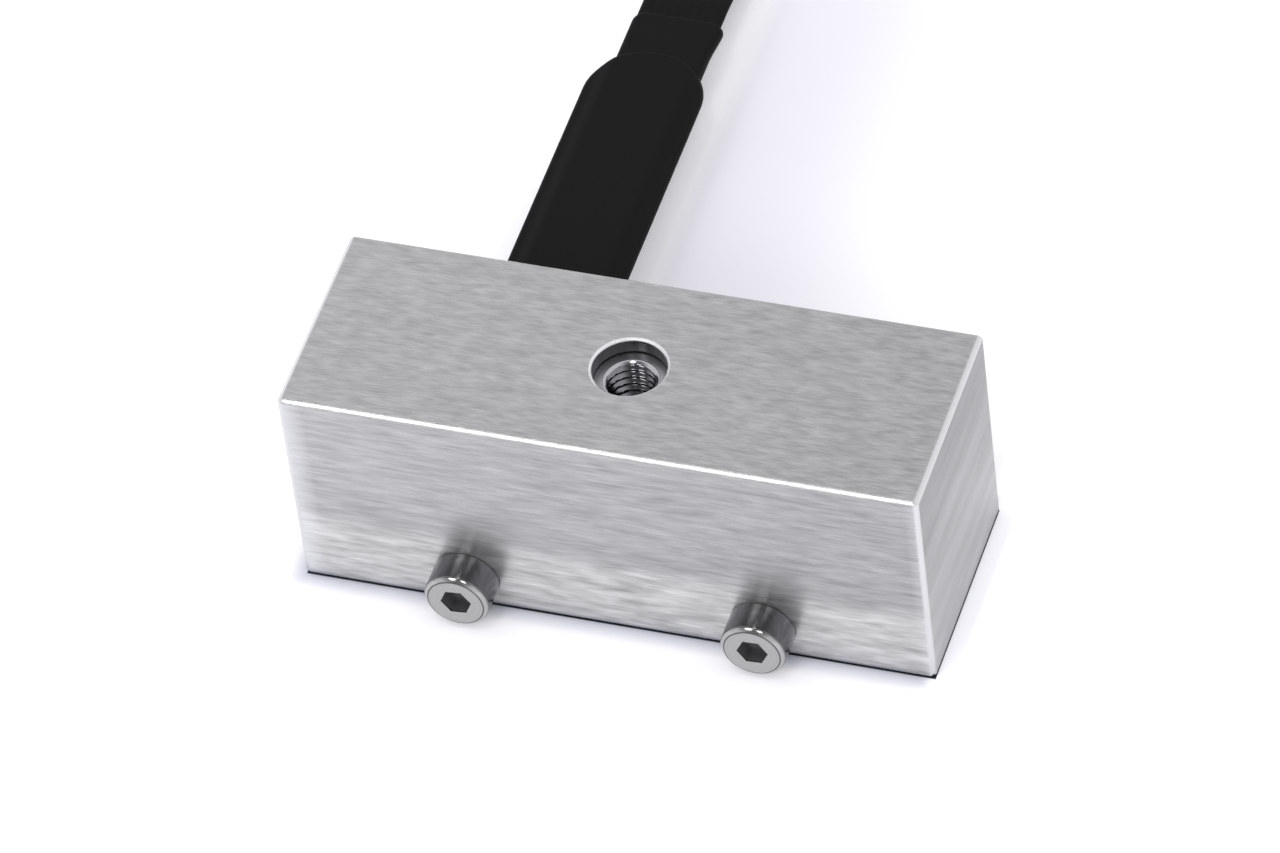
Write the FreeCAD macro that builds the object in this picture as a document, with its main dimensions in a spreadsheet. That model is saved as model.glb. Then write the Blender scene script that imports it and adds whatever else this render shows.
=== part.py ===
"""Two-axis load cell: a stainless spring element under a milled aluminium cover, with a flat lead.

Millimetres, +Z up. The origin is the middle of the underside, +X runs along the block and the lead
leaves the back, towards +Y. The load comes in along Z and along Y, at the thread in the middle.
"""
import FreeCAD, Part
import math
import os
import re
import Sketcher

# Driving dimensions in millimetres, one cell of the sheet each
DIMENSIONS = {
    # Outer block
    "block_length": 70.0,
    "block_depth": 25.0,
    "block_height": 27.0,
    "edge_break": 0.45,
    "side_wall": 2.0,
    "top_wall": 1.85,
    "cavity_corner": 2.0,
    "rim_gap": 0.5,
    "access_hole": 8.0,
    "access_chamfer": 0.25,
    # Base block inside the cover
    "fit_gap": 0.1,
    "base_height": 8.0,
    "fixing_thread": 5.0,
    "fixing_spacing": 20.0,
    "fixing_depth": 6.0,
    # Spring element
    "load_gap": 0.15,
    "overload_gap": 0.4,
    "beam_end_gap": 0.5,
    "beam_side_gap": 1.5,
    "foot_length": 6.0,
    "boss_length": 14.0,
    "board_room": 3.5,
    "slot_width": 7.0,
    "flexure_web": 2.5,
    "vertical_flexure": 2.0,
    "cross_flexure": 2.0,
    "gauge_recess": 0.4,
    "load_thread": 6.0,
    "load_thread_depth": 12.0,
    # Strain gauges
    "gauge_length": 5.0,
    "gauge_width": 4.0,
    "gauge_thickness": 0.15,
    # Screws of the cover, the beam and the board
    "thread_gap": 0.05,
    "tip_room": 1.0,
    "cover_screw_spacing": 32.8,
    "cover_screw_level": 4.1,
    "cover_screw_thread": 4.0,
    "cover_screw_length": 12.0,
    "cover_screw_head": 7.2,
    "cover_screw_head_height": 4.0,
    "cover_screw_socket": 3.0,
    "cover_screw_socket_depth": 2.0,
    "cover_screw_chamfer": 0.5,
    "cover_screw_hole": 4.5,
    "beam_screw_inset": 3.0,
    "beam_screw_spacing": 9.0,
    "beam_screw_thread": 2.5,
    "beam_screw_length": 10.0,
    "beam_screw_head": 4.5,
    "beam_screw_head_height": 2.5,
    "beam_screw_socket": 2.0,
    "beam_screw_socket_depth": 1.2,
    "beam_screw_chamfer": 0.2,
    "head_gap": 0.2,
    "board_screw_inset": 2.2,
    "board_screw_thread": 2.0,
    "board_screw_length": 4.0,
    "board_screw_head": 3.8,
    "board_screw_head_height": 1.1,
    "board_screw_socket": 1.3,
    "board_screw_socket_depth": 0.7,
    "board_screw_chamfer": 0.15,
    # Terminal board
    "board_end_gap": 0.5,
    "board_width": 10.0,
    "board_thickness": 1.0,
    "spacer_height": 0.8,
    "spacer_width": 3.8,
    # Flat lead inside the block
    "cable_inset": 16.3,
    "cable_width": 9.8,
    "cable_thickness": 1.0,
    "cable_level": 5.0,
    "cable_bend": 2.0,
    "cable_rise_inset": 6.2,
    "tail_lap": 5.0,
    "seal_wall": 0.8,
    "seal_length": 2.0,
    # Sleeves on the lead
    "sleeve_offset": 0.5,
    "sleeve_width": 13.8,
    "sleeve_thickness": 2.0,
    "sleeve_inset": 1.8,
    "sleeve_reach": 53.6,
    "sleeve_end_flat": 0.6,
    "sleeve_side_flat": 0.4,
    "window_gap": 0.15,
    "shrink_wall": 0.25,
    "shrink_lap": 11.6,
    "shrink_reach": 59.5,
    "shrink_corner": 1.5,
    # The lead's way down to the table
    "drop_reach": 65.5,
    "drop_length": 14.0,
    "drop_bend": 30.0,
    # Folded hank, its tie and the plug
    "hank_reach": 86.5,
    "hank_length": 72.0,
    "hank_near_height": 8.6,
    "hank_far_height": 4.8,
    "hank_arch_height": 8.5,
    "hank_fold": 2.2,
    "waist_height": 4.6,
    "waist_slope": 10.0,
    "tie_place": 34.0,
    "tie_width": 2.5,
    "tie_thickness": 1.1,
    "tie_gap": 0.1,
    "tie_head": 4.6,
    "tie_head_height": 3.2,
    "plug_place": 58.0,
    "plug_width": 12.6,
    "plug_length": 9.0,
    "plug_height": 4.2,
    "plug_edge": 0.3,
    "contact_pitch": 1.25,
    "contact_opening": 0.85,
    "contact_opening_height": 1.8,
    "contact_depth": 7.0,
    "contact_width": 0.6,
    "contact_thickness": 0.5,
    "contact_setback": 0.8,
}

CONTACTS = 8

# Edges that lie closer than this to a place are taken to lie on it
SAME_PLACE = 1e-4

# Lines and circles are drawn at this size before their formulas take hold
FIRST_SIZE = 1.0

# Places that follow from them, in a second sheet
PLACES = {
    "front_face": "-block_depth / 2",
    "rear_face": "block_depth / 2",
    "ceiling": "block_height - top_wall",
    "cavity_length": "block_length - 2 * side_wall",
    "cavity_depth": "block_depth - 2 * side_wall",
    "base_length": "cavity_length - 2 * fit_gap",
    "base_depth": "cavity_depth - 2 * fit_gap",
    "beam_top": "ceiling - load_gap",
    "beam_half": "cavity_length / 2 - beam_end_gap",
    "beam_depth": "cavity_depth - 2 * beam_side_gap",
    "foot_inner": "beam_half - foot_length",
    "boss_half": "boss_length / 2",
    "boss_level": "base_height + overload_gap",
    "arm_level": "base_height + board_room",
    "arm_top": "beam_top - gauge_recess",
    "arm_side": "beam_depth / 2 - gauge_recess",
    "arm_middle": "(boss_half + foot_inner) / 2",
    "vertical_slot": "arm_middle - (slot_width + flexure_web) / 2",
    "cross_slot": "arm_middle + (slot_width + flexure_web) / 2",
    "vertical_slot_upper": "arm_top - vertical_flexure - slot_width / 2",
    "vertical_slot_lower": "arm_level + vertical_flexure + slot_width / 2",
    "cross_slot_side": "arm_side - cross_flexure - slot_width / 2",
    "beam_screw_x": "beam_half - beam_screw_inset",
    "beam_screw_seat": "beam_screw_head_height + head_gap",
    "cable_centre": "-block_length / 2 + cable_inset",
    "sleeve_centre": "cable_centre - sleeve_offset",
    "sleeve_left": "sleeve_centre - sleeve_width / 2",
    "sleeve_right": "sleeve_centre + sleeve_width / 2",
    "sleeve_inner": "base_depth / 2 - sleeve_inset",
    "sleeve_tip": "rear_face + sleeve_reach",
    "sleeve_under": "cable_level - sleeve_thickness / 2",
    "sleeve_over": "cable_level + sleeve_thickness / 2",
    "sleeve_end_radius": "(sleeve_width - sleeve_end_flat) / 2",
    "sleeve_edge": "(sleeve_thickness - sleeve_side_flat) / 2",
    "cable_left": "cable_centre - cable_width / 2",
    "cable_right": "cable_centre + cable_width / 2",
    "cable_under": "cable_level - cable_thickness / 2",
    "cable_over": "cable_level + cable_thickness / 2",
    "cable_rise": "base_depth / 2 - cable_rise_inset",
    "rise_front": "cable_rise - cable_thickness / 2",
    "rise_rear": "cable_rise + cable_thickness / 2",
    "channel_floor": "cable_under - seal_wall",
    "seal_front": "sleeve_inner - seal_length",
    "shrink_start": "sleeve_tip - shrink_lap",
    "shrink_tip": "rear_face + shrink_reach",
    "board_left": "-foot_inner + board_end_gap",
    "board_right": "-boss_half - board_end_gap",
    "board_rear": "cable_rise - cable_bend",
    "board_front": "board_rear - board_width",
    "board_level": "base_height + spacer_height",
    "board_top": "board_level + board_thickness",
    "board_screw_left_x": "board_left + board_screw_inset",
    "board_screw_right_x": "board_right - board_screw_inset",
    "board_screw_y": "board_front + board_screw_inset",
    "tail_top": "board_top + cable_thickness",
    "tail_end": "board_rear - tail_lap",
    "drop_start": "rear_face + drop_reach",
    "drop_end": "drop_start + drop_length",
    "hank_near": "rear_face + hank_reach",
    "hank_far": "hank_near + hank_length",
    "tie_near": "hank_near + tie_place - tie_width / 2",
    "tie_far": "hank_near + tie_place + tie_width / 2",
    "waist_near": "hank_near + tie_place - tie_head / 2 - tie_gap",
    "waist_far": "hank_near + tie_place + tie_head / 2 + tie_gap",
    "waist_top": "tie_thickness + tie_gap + waist_height",
    "plug_rear": "hank_near + plug_place",
    "plug_front": "plug_rear + plug_length",
    "plug_middle": "hank_far_height + plug_height / 2",
}

doc = FreeCAD.newDocument("two_axis_load_cell")
nodes = []


def spelled(formula):
    """The formula with each name led by the sheet that holds it."""

    def lead(match):
        word = match.group(0)
        if word in DIMENSIONS:
            return "Dim." + word
        return "Place." + word if word in PLACES else word

    return re.sub(r"[a-z_]+", lead, formula)


def make_sheet(name, cells):
    """A sheet with one cell, and an alias, for each name."""
    sheet = doc.addObject("Spreadsheet::Sheet", name)
    for row, (alias, content) in enumerate(cells, start=1):
        sheet.set(f"A{row}", alias)
        sheet.set(f"B{row}", content)
        sheet.setAlias(f"B{row}", alias)
    doc.recompute()
    return sheet


dimension_sheet = make_sheet("Dim", [(name, str(size)) for name, size in DIMENSIONS.items()])
place_sheet = make_sheet("Place", [(name, "=" + spelled(rule)) for name, rule in PLACES.items()])


def number(name):
    """The present value of a named dimension or place."""
    sheet = dimension_sheet if name in DIMENSIONS else place_sheet
    return float(sheet.get(name))


def bind(thing, path, formula):
    """Ties a property of an object to the sheets."""
    thing.setExpression(path, spelled(formula))


# Sketches and features

def new_body(label):
    """An empty body that becomes a node of the assembly."""
    body = doc.addObject("PartDesign::Body", label)
    body.Label = label
    nodes.append(body)
    return body


def sketch_on(body, role, level="0"):
    """A sketch on one of the body's origin planes, moved along the plane's normal."""
    sketch = body.newObject("Sketcher::SketchObject", body.Label + "_sketch")
    plane = next(feature for feature in body.Origin.OriginFeatures if feature.Role == role)
    sketch.AttachmentSupport = [(plane, "")]
    sketch.MapMode = "FlatFace"
    bind(sketch, "AttachmentOffset.Base.z", level)
    return sketch


def pin_point(sketch, geometry, point, across, up):
    """Ties a point of the sketch's geometry to a place given by two formulas."""
    for kind, formula in (("DistanceX", across), ("DistanceY", up)):
        distance = Sketcher.Constraint(kind, -1, 1, geometry, point, FIRST_SIZE)
        index = sketch.addConstraint(distance)
        bind(sketch, f"Constraints[{index}]", formula)


def draw_outline(sketch, corners):
    """A closed outline of straight lines, with each corner at a pair of formulas."""
    count = len(corners)
    turn = 2 * math.pi / count
    start = [FreeCAD.Vector(math.cos(i * turn), math.sin(i * turn), 0) for i in range(count)]
    lines = []
    for i in range(count):
        lines.append(sketch.addGeometry(Part.LineSegment(start[i], start[(i + 1) % count]), False))
    for i in range(count):
        sketch.addConstraint(Sketcher.Constraint("Coincident", lines[i], 2, lines[(i + 1) % count], 1))
    for line, (across, up) in zip(lines, corners):
        pin_point(sketch, line, 1, across, up)


def draw_rectangle(sketch, left, right, low, high):
    """A rectangle between two columns and two levels."""
    draw_outline(sketch, [(left, low), (right, low), (right, high), (left, high)])


def draw_circle(sketch, across, up, diameter):
    """A circle of the given diameter."""
    middle = FreeCAD.Vector(0, 0, 0)
    circle = sketch.addGeometry(Part.Circle(middle, FreeCAD.Vector(0, 0, 1), FIRST_SIZE), False)
    pin_point(sketch, circle, 3, across, up)
    index = sketch.addConstraint(Sketcher.Constraint("Diameter", circle, FIRST_SIZE))
    bind(sketch, f"Constraints[{index}]", diameter)


def pad(sketch, length, symmetric=False):
    """Material from a sketch, along its normal or to both sides of it."""
    feature = sketch.getParentGeoFeatureGroup().newObject("PartDesign::Pad", "Pad")
    feature.Profile = sketch
    feature.SideType = "Symmetric" if symmetric else "One side"
    bind(feature, "Length", length)
    doc.recompute()
    return feature


def pocket(sketch, depth=None, along_normal=False):
    """A cut from a sketch, against its normal unless told otherwise, or right through both ways."""
    body = sketch.getParentGeoFeatureGroup()
    before = body.Tip.Shape.Volume
    feature = body.newObject("PartDesign::Pocket", "Pocket")
    feature.Profile = sketch
    if depth is None:
        feature.Type = "ThroughAll"
        feature.SideType = "Symmetric"
    else:
        feature.Reversed = along_normal
        bind(feature, "Length", depth)
    doc.recompute()
    if feature.Shape.Volume >= before:
        raise RuntimeError(f"a pocket of {body.Label} removes nothing")
    return feature


def dress(body, kind, wanted, size):
    """A fillet or chamfer on the edges of the body that the test wants."""
    base = body.Tip
    edges = [f"Edge{i}" for i, edge in enumerate(base.Shape.Edges, start=1) if wanted(edge.BoundBox)]
    feature = body.newObject("PartDesign::" + kind, kind)
    feature.Base = (base, edges)
    bind(feature, "Radius" if kind == "Fillet" else "Size", size)
    doc.recompute()
    return feature


def near(first, second):
    """Whether two lengths are the same, for picking edges."""
    return abs(first - second) < SAME_PLACE


def runs_along(box, axis):
    """Whether an edge with this box is a straight one along the axis."""
    return all(near(getattr(box, other + "Length"), 0) for other in "XYZ" if other != axis)


def upright_at(across, along):
    """A test for upright edges at plus or minus the given places."""
    return lambda box: (
        runs_along(box, "Z") and near(abs(box.XMin), across) and near(abs(box.YMin), along)
    )


def upright_behind(along):
    """A test for upright edges of the face at one place along Y."""
    return lambda box: runs_along(box, "Z") and near(box.YMin, along)


def lengthwise_at(places):
    """A test for edges along Y at any of these places along X."""
    return lambda box: runs_along(box, "Y") and any(near(box.XMin, place) for place in places)


def crosswise_at(corners):
    """A test for edges along X through any of these corners of a side view."""
    return lambda box: (
        runs_along(box, "X") and any(near(box.YMin, y) and near(box.ZMin, z) for y, z in corners)
    )


def rim_at(level, diameter):
    """A test for the round rim of a hole from above."""
    return lambda box: near(box.ZMin, level) and near(box.ZMax, level) and near(box.XLength, diameter)


def mirrored(right_half):
    """Corners from left to right of an outline that is the same on both sides of the middle."""
    left_half = [(f"-({across})", up) for across, up in reversed(right_half)]
    return left_half + right_half


# Plain solids

def block(label, low, high):
    """A box between two corners, each given by three formulas."""
    box = doc.addObject("Part::Box", label)
    box.Label = label
    for size, axis, start, end in zip(("Length", "Width", "Height"), "xyz", low, high):
        bind(box, size, f"({end}) - ({start})")
        bind(box, f"Placement.Base.{axis}", start)
    return box


def post(label, across, along, low, high, diameter):
    """An upright cylinder."""
    cylinder = doc.addObject("Part::Cylinder", label)
    cylinder.Label = label
    bind(cylinder, "Radius", f"({diameter}) / 2")
    bind(cylinder, "Height", f"({high}) - ({low})")
    for axis, formula in zip("xyz", (across, along, low)):
        bind(cylinder, f"Placement.Base.{axis}", formula)
    return cylinder


def combine(kind, label, base, tool):
    """A cut or fusion of two solids that becomes a node."""
    result = doc.addObject("Part::" + kind, label)
    result.Label = label
    result.Base = base
    result.Tool = tool
    nodes.append(result)
    return result


# Pieces of the block

def make_cover():
    """Milled shell, open below: access hole on top, screw holes in front, window for the lead behind."""
    body = new_body("cover")
    sketch = sketch_on(body, "XY_Plane", "rim_gap")
    draw_rectangle(sketch, "-block_length / 2", "block_length / 2", "front_face", "rear_face")
    pad(sketch, "block_height - rim_gap")
    top = number("block_height")
    upright = upright_at(number("block_length") / 2, number("block_depth") / 2)
    dress(body, "Chamfer", lambda box: near(box.ZMin, top) or upright(box), "edge_break")

    sketch = sketch_on(body, "XY_Plane", "rim_gap")
    half_length = "cavity_length / 2"
    half_depth = "cavity_depth / 2"
    draw_rectangle(sketch, "-" + half_length, half_length, "-" + half_depth, half_depth)
    pocket(sketch, "ceiling - rim_gap", along_normal=True)
    corners = upright_at(number("cavity_length") / 2, number("cavity_depth") / 2)
    dress(body, "Fillet", corners, "cavity_corner")

    sketch = sketch_on(body, "XY_Plane", "block_height")
    draw_circle(sketch, "0", "0", "access_hole")
    pocket(sketch, "top_wall + load_gap")
    dress(body, "Chamfer", rim_at(top, number("access_hole")), "access_chamfer")

    sketch = sketch_on(body, "XZ_Plane", "-front_face")
    for side in ("-", ""):
        draw_circle(sketch, side + "cover_screw_spacing / 2", "cover_screw_level", "cover_screw_hole")
    pocket(sketch, "side_wall + fit_gap")

    sketch = sketch_on(body, "XZ_Plane", "-rear_face")
    left = "sleeve_left - window_gap"
    right = "sleeve_right + window_gap"
    draw_rectangle(sketch, left, right, "sleeve_under - window_gap", "sleeve_over + window_gap")
    pocket(sketch, "side_wall + fit_gap", along_normal=True)
    ends = [number("sleeve_left") - number("window_gap"), number("sleeve_right") + number("window_gap")]
    dress(body, "Fillet", lengthwise_at(ends), "sleeve_edge + window_gap")


def make_base():
    """Fixed foot inside the cover: takes the cover screws, carries the beam and leads the cable in."""
    body = new_body("base_block")
    sketch = sketch_on(body, "XY_Plane")
    half_length = "base_length / 2"
    half_depth = "base_depth / 2"
    draw_rectangle(sketch, "-" + half_length, half_length, "-" + half_depth, half_depth)
    pad(sketch, "base_height")
    corners = upright_at(number("base_length") / 2, number("base_depth") / 2)
    dress(body, "Fillet", corners, "cavity_corner")

    # Tapped holes for the cover screws
    sketch = sketch_on(body, "XZ_Plane", half_depth)
    for side in ("-", ""):
        across = side + "cover_screw_spacing / 2"
        draw_circle(sketch, across, "cover_screw_level", "cover_screw_thread + 2 * thread_gap")
    pocket(sketch, "cover_screw_length - side_wall - fit_gap + tip_room")

    # Tapped holes on the underside that fix the cell to a machine
    sketch = sketch_on(body, "XY_Plane")
    for side in ("-", ""):
        draw_circle(sketch, side + "fixing_spacing / 2", "0", "fixing_thread")
    pocket(sketch, "fixing_depth", along_normal=True)

    # Clearance holes and counterbores of the beam screws
    for diameter, depth in (("beam_screw_thread + 2 * thread_gap", None),
                            ("beam_screw_head + 2 * head_gap", "beam_screw_seat")):
        sketch = sketch_on(body, "XY_Plane")
        for side in ("-", ""):
            for end in ("-", ""):
                draw_circle(sketch, side + "beam_screw_x", end + "beam_screw_spacing / 2", diameter)
        pocket(sketch, depth, along_normal=True)

    # Tapped holes of the board screws
    sketch = sketch_on(body, "XY_Plane", "base_height")
    for side in ("left", "right"):
        across = f"board_screw_{side}_x"
        draw_circle(sketch, across, "board_screw_y", "board_screw_thread + 2 * thread_gap")
    pocket(sketch, "board_screw_length - spacer_height - board_thickness + tip_room")

    # Channel for the lead, milled from above: wide for the sleeve, narrow from there to the rise
    sketch = sketch_on(body, "XY_Plane", "base_height")
    left = "sleeve_left - window_gap"
    right = "sleeve_right + window_gap"
    draw_rectangle(sketch, left, right, "sleeve_inner", "rear_face")
    pocket(sketch, "base_height - sleeve_under + window_gap")
    sketch = sketch_on(body, "XY_Plane", "base_height")
    left = "cable_left - seal_wall"
    right = "cable_right + seal_wall"
    draw_rectangle(sketch, left, right, "rise_front - seal_wall", "sleeve_inner + window_gap")
    pocket(sketch, "base_height - channel_floor")


def make_beam():
    """Spring element: two feet, a loaded boss, and an arm each side with two pairs of thin walls."""
    body = new_body("sensing_beam")
    sketch = sketch_on(body, "XZ_Plane")
    slot_near = "vertical_slot - slot_width / 2"
    slot_far = "vertical_slot + slot_width / 2"
    under = [("boss_half", "boss_level"), ("boss_half", "arm_level"), ("foot_inner", "arm_level"),
             ("foot_inner", "base_height"), ("beam_half", "base_height")]
    over = [(slot_near, "beam_top"), (slot_near, "arm_top"), (slot_far, "arm_top"),
            (slot_far, "beam_top"), ("beam_half", "beam_top")]
    draw_outline(sketch, mirrored(under) + list(reversed(mirrored(over))))
    pad(sketch, "beam_depth", symmetric=True)

    # Openings across the arms leave thin walls above and below, which bend under the vertical load
    sketch = sketch_on(body, "XZ_Plane")
    for side in ("-", ""):
        for level in ("vertical_slot_upper", "vertical_slot_lower"):
            drill = sketch_on(body, "XZ_Plane")
            draw_circle(drill, side + "vertical_slot", level, "slot_width")
            pocket(drill)
        middle = side + "vertical_slot"
        left = middle + " - slot_width / 2"
        right = middle + " + slot_width / 2"
        draw_rectangle(sketch, left, right, "vertical_slot_lower", "vertical_slot_upper")
    pocket(sketch)

    # Openings down through the arms leave thin walls in front and behind, for the load across
    sketch = sketch_on(body, "XY_Plane")
    for side in ("-", ""):
        for end in ("-", ""):
            drill = sketch_on(body, "XY_Plane")
            draw_circle(drill, side + "cross_slot", end + "cross_slot_side", "slot_width")
            pocket(drill)
        middle = side + "cross_slot"
        left = middle + " - slot_width / 2"
        right = middle + " + slot_width / 2"
        draw_rectangle(sketch, left, right, "-cross_slot_side", "cross_slot_side")
    pocket(sketch)

    # Shallow recesses for the gauges on the front and rear walls
    sketch = sketch_on(body, "XY_Plane")
    for side in ("-", ""):
        left = side + "cross_slot - slot_width / 2"
        right = side + "cross_slot + slot_width / 2"
        draw_rectangle(sketch, left, right, "arm_side", "beam_depth / 2")
        draw_rectangle(sketch, left, right, "-beam_depth / 2", "-arm_side")
    pocket(sketch)

    # Load thread, and the tapped holes in the feet
    sketch = sketch_on(body, "XY_Plane", "beam_top")
    draw_circle(sketch, "0", "0", "load_thread")
    pocket(sketch, "load_thread_depth")
    sketch = sketch_on(body, "XY_Plane", "base_height")
    for side in ("-", ""):
        for end in ("-", ""):
            across = side + "beam_screw_x"
            along = end + "beam_screw_spacing / 2"
            draw_circle(sketch, across, along, "beam_screw_thread + 2 * thread_gap")
    pocket(sketch, "beam_screw_length - base_height + beam_screw_seat + tip_room", along_normal=True)


def make_cap_screw(label, kind, place, axis=None, turn=0):
    """A socket-head cap screw whose head stands on its seat at the given place."""
    body = new_body(label)
    sketch = sketch_on(body, "XZ_Plane")
    thread = f"{kind}_thread / 2"
    head = f"{kind}_head / 2"
    top = f"{kind}_head_height"
    chamfer = f"{kind}_chamfer"
    tip = f"-{kind}_length"
    draw_outline(sketch, [
        ("0", tip), (f"{thread} - {chamfer}", tip), (thread, f"{tip} + {chamfer}"), (thread, "0"),
        (head, "0"), (head, f"{top} - {chamfer}"), (f"{head} - {chamfer}", top), ("0", top),
    ])
    turned = body.newObject("PartDesign::Revolution", "Revolution")
    turned.Profile = sketch
    turned.ReferenceAxis = (sketch, ["V_Axis"])
    turned.Angle = 360
    doc.recompute()

    sketch = sketch_on(body, "XY_Plane", top)
    flat = f"{kind}_socket / 2"
    corner = f"{kind}_socket / sqrt(3)"
    draw_outline(sketch, [
        (corner, "0"), (f"({corner}) / 2", flat), (f"-({corner}) / 2", flat),
        (f"-({corner})", "0"), (f"-({corner}) / 2", f"-{flat}"), (f"({corner}) / 2", f"-{flat}"),
    ])
    pocket(sketch, f"{kind}_socket_depth")
    if axis is not None:
        body.Placement = FreeCAD.Placement(FreeCAD.Vector(0, 0, 0), FreeCAD.Rotation(axis, turn))
    for name, formula in zip("xyz", place):
        bind(body, f"Placement.Base.{name}", formula)


def make_screws():
    """Cover screws from the front, beam screws from below, board screws from above."""
    lengthwise = FreeCAD.Vector(1, 0, 0)
    for side, sign in (("left", "-"), ("right", "")):
        across = sign + "cover_screw_spacing / 2"
        place = (across, "front_face", "cover_screw_level")
        make_cap_screw(f"cover_screw_{side}", "cover_screw", place, lengthwise, 90)
        for end, along in (("front", "-"), ("rear", "")):
            place = (sign + "beam_screw_x", along + "beam_screw_spacing / 2", "beam_screw_seat")
            make_cap_screw(f"beam_screw_{end}_{side}", "beam_screw", place, lengthwise, 180)
        place = (f"board_screw_{side}_x", "board_screw_y", "board_top")
        make_cap_screw(f"board_screw_{side}", "board_screw", place)


def make_gauges():
    """Foil gauges: four above and below the arms, four on their front and rear walls."""
    for side, sign in (("left", "-"), ("right", "")):
        left = sign + "vertical_slot - gauge_length / 2"
        right = sign + "vertical_slot + gauge_length / 2"
        for end, low in (("top", "arm_top"), ("bottom", "arm_level - gauge_thickness")):
            lower = (left, "-gauge_width / 2", low)
            upper = (right, "gauge_width / 2", low + " + gauge_thickness")
            nodes.append(block(f"gauge_{end}_{side}", lower, upper))
        left = sign + "cross_slot - gauge_length / 2"
        right = sign + "cross_slot + gauge_length / 2"
        middle = "(beam_top + arm_level) / 2"
        for end, along in (("front", "-arm_side - gauge_thickness"), ("rear", "arm_side")):
            lower = (left, along, middle + " - gauge_width / 2")
            upper = (right, along + " + gauge_thickness", middle + " + gauge_width / 2")
            nodes.append(block(f"gauge_{end}_{side}", lower, upper))


def make_board():
    """Terminal board on two spacers, under the left arm."""
    body = new_body("terminal_board")
    sketch = sketch_on(body, "XY_Plane", "board_level")
    draw_rectangle(sketch, "board_left", "board_right", "board_front", "board_rear")
    hole = "board_screw_thread + 2 * thread_gap"
    for side in ("left", "right"):
        draw_circle(sketch, f"board_screw_{side}_x", "board_screw_y", hole)
    pad(sketch, "board_thickness")
    for side in ("left", "right"):
        across = f"board_screw_{side}_x"
        span = (across, "board_screw_y", "base_height", "board_level")
        outside = post(f"spacer_outside_{side}", *span, "spacer_width")
        inside = post(f"spacer_inside_{side}", *span, hole)
        combine("Cut", f"board_spacer_{side}", outside, inside)


# The lead

def make_cable_tail():
    """The lead's end inside the block: in along the base's channel, up and onto the board."""
    body = new_body("cable_tail")
    sketch = sketch_on(body, "YZ_Plane", "cable_centre")
    draw_outline(sketch, [
        ("sleeve_inner", "cable_under"), ("rise_front", "cable_under"), ("rise_front", "board_top"),
        ("tail_end", "board_top"), ("tail_end", "tail_top"), ("rise_rear", "tail_top"),
        ("rise_rear", "cable_over"), ("sleeve_inner", "cable_over"),
    ])
    pad(sketch, "cable_width", symmetric=True)
    outside = (("rise_front", "cable_under"), ("rise_rear", "tail_top"))
    inside = (("rise_front", "board_top"), ("rise_rear", "cable_over"))
    for corners, radius in ((outside, "cable_bend + cable_thickness / 2"),
                            (inside, "cable_bend - cable_thickness / 2")):
        places = [(number(along), number(level)) for along, level in corners]
        dress(body, "Fillet", crosswise_at(places), radius)


def make_cable_seal():
    """Sealing plug that fills the channel round the lead."""
    low = ("cable_left - seal_wall", "seal_front", "channel_floor")
    high = ("cable_right + seal_wall", "sleeve_inner", "base_height")
    plug = block("seal_plug", low, high)
    low = ("cable_left", "seal_front", "cable_under")
    high = ("cable_right", "sleeve_inner", "cable_over")
    combine("Cut", "cable_seal", plug, block("seal_slot", low, high))


def make_sleeves():
    """Wide sleeve with a round end, and the narrow shrink sleeve that comes out of it."""
    body = new_body("cable_sleeve")
    sketch = sketch_on(body, "XY_Plane", "sleeve_under")
    draw_rectangle(sketch, "sleeve_left", "sleeve_right", "sleeve_inner", "sleeve_tip")
    pad(sketch, "sleeve_thickness")
    dress(body, "Fillet", upright_behind(number("sleeve_tip")), "sleeve_end_radius")
    sides = [number("sleeve_left"), number("sleeve_right")]
    dress(body, "Fillet", lengthwise_at(sides), "sleeve_edge")
    sketch = sketch_on(body, "XZ_Plane", "-sleeve_tip")
    draw_rectangle(sketch, "cable_left", "cable_right", "cable_under", "cable_over")
    pocket(sketch, "sleeve_tip - sleeve_inner", along_normal=True)
    sketch = sketch_on(body, "XZ_Plane", "-sleeve_tip")
    wall = "shrink_wall"
    section = (f"cable_left - {wall}", f"cable_right + {wall}",
               f"cable_under - {wall}", f"cable_over + {wall}")
    draw_rectangle(sketch, *section)
    pocket(sketch, "shrink_lap", along_normal=True)

    body = new_body("cable_shrink")
    sketch = sketch_on(body, "XZ_Plane", "-shrink_tip")
    draw_rectangle(sketch, *section)
    pad(sketch, "shrink_tip - shrink_start")
    dress(body, "Fillet", upright_behind(number("shrink_tip")), "shrink_corner")
    sketch = sketch_on(body, "XZ_Plane", "-shrink_tip")
    draw_rectangle(sketch, "cable_left", "cable_right", "cable_under", "cable_over")
    pocket(sketch, "shrink_tip - shrink_start", along_normal=True)


def make_flat_cable():
    """The lead's free stretch: level through its sleeves, then down to the table."""
    body = new_body("flat_cable")
    sketch = sketch_on(body, "YZ_Plane", "cable_centre")
    under = [("sleeve_inner", "cable_under"), ("drop_start", "cable_under"),
             ("drop_end", "0"), ("hank_near", "0")]
    over = [(along, level + " + cable_thickness") for along, level in reversed(under)]
    draw_outline(sketch, under + over)
    pad(sketch, "cable_width", symmetric=True)
    start, end = number("drop_start"), number("drop_end")
    bends = [(start, number("cable_under")), (start, number("cable_over")),
             (end, 0), (end, number("cable_thickness"))]
    dress(body, "Fillet", crosswise_at(bends), "drop_bend")
    print(f"the lead's two bends: {number('drop_bend')} mm")


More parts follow.
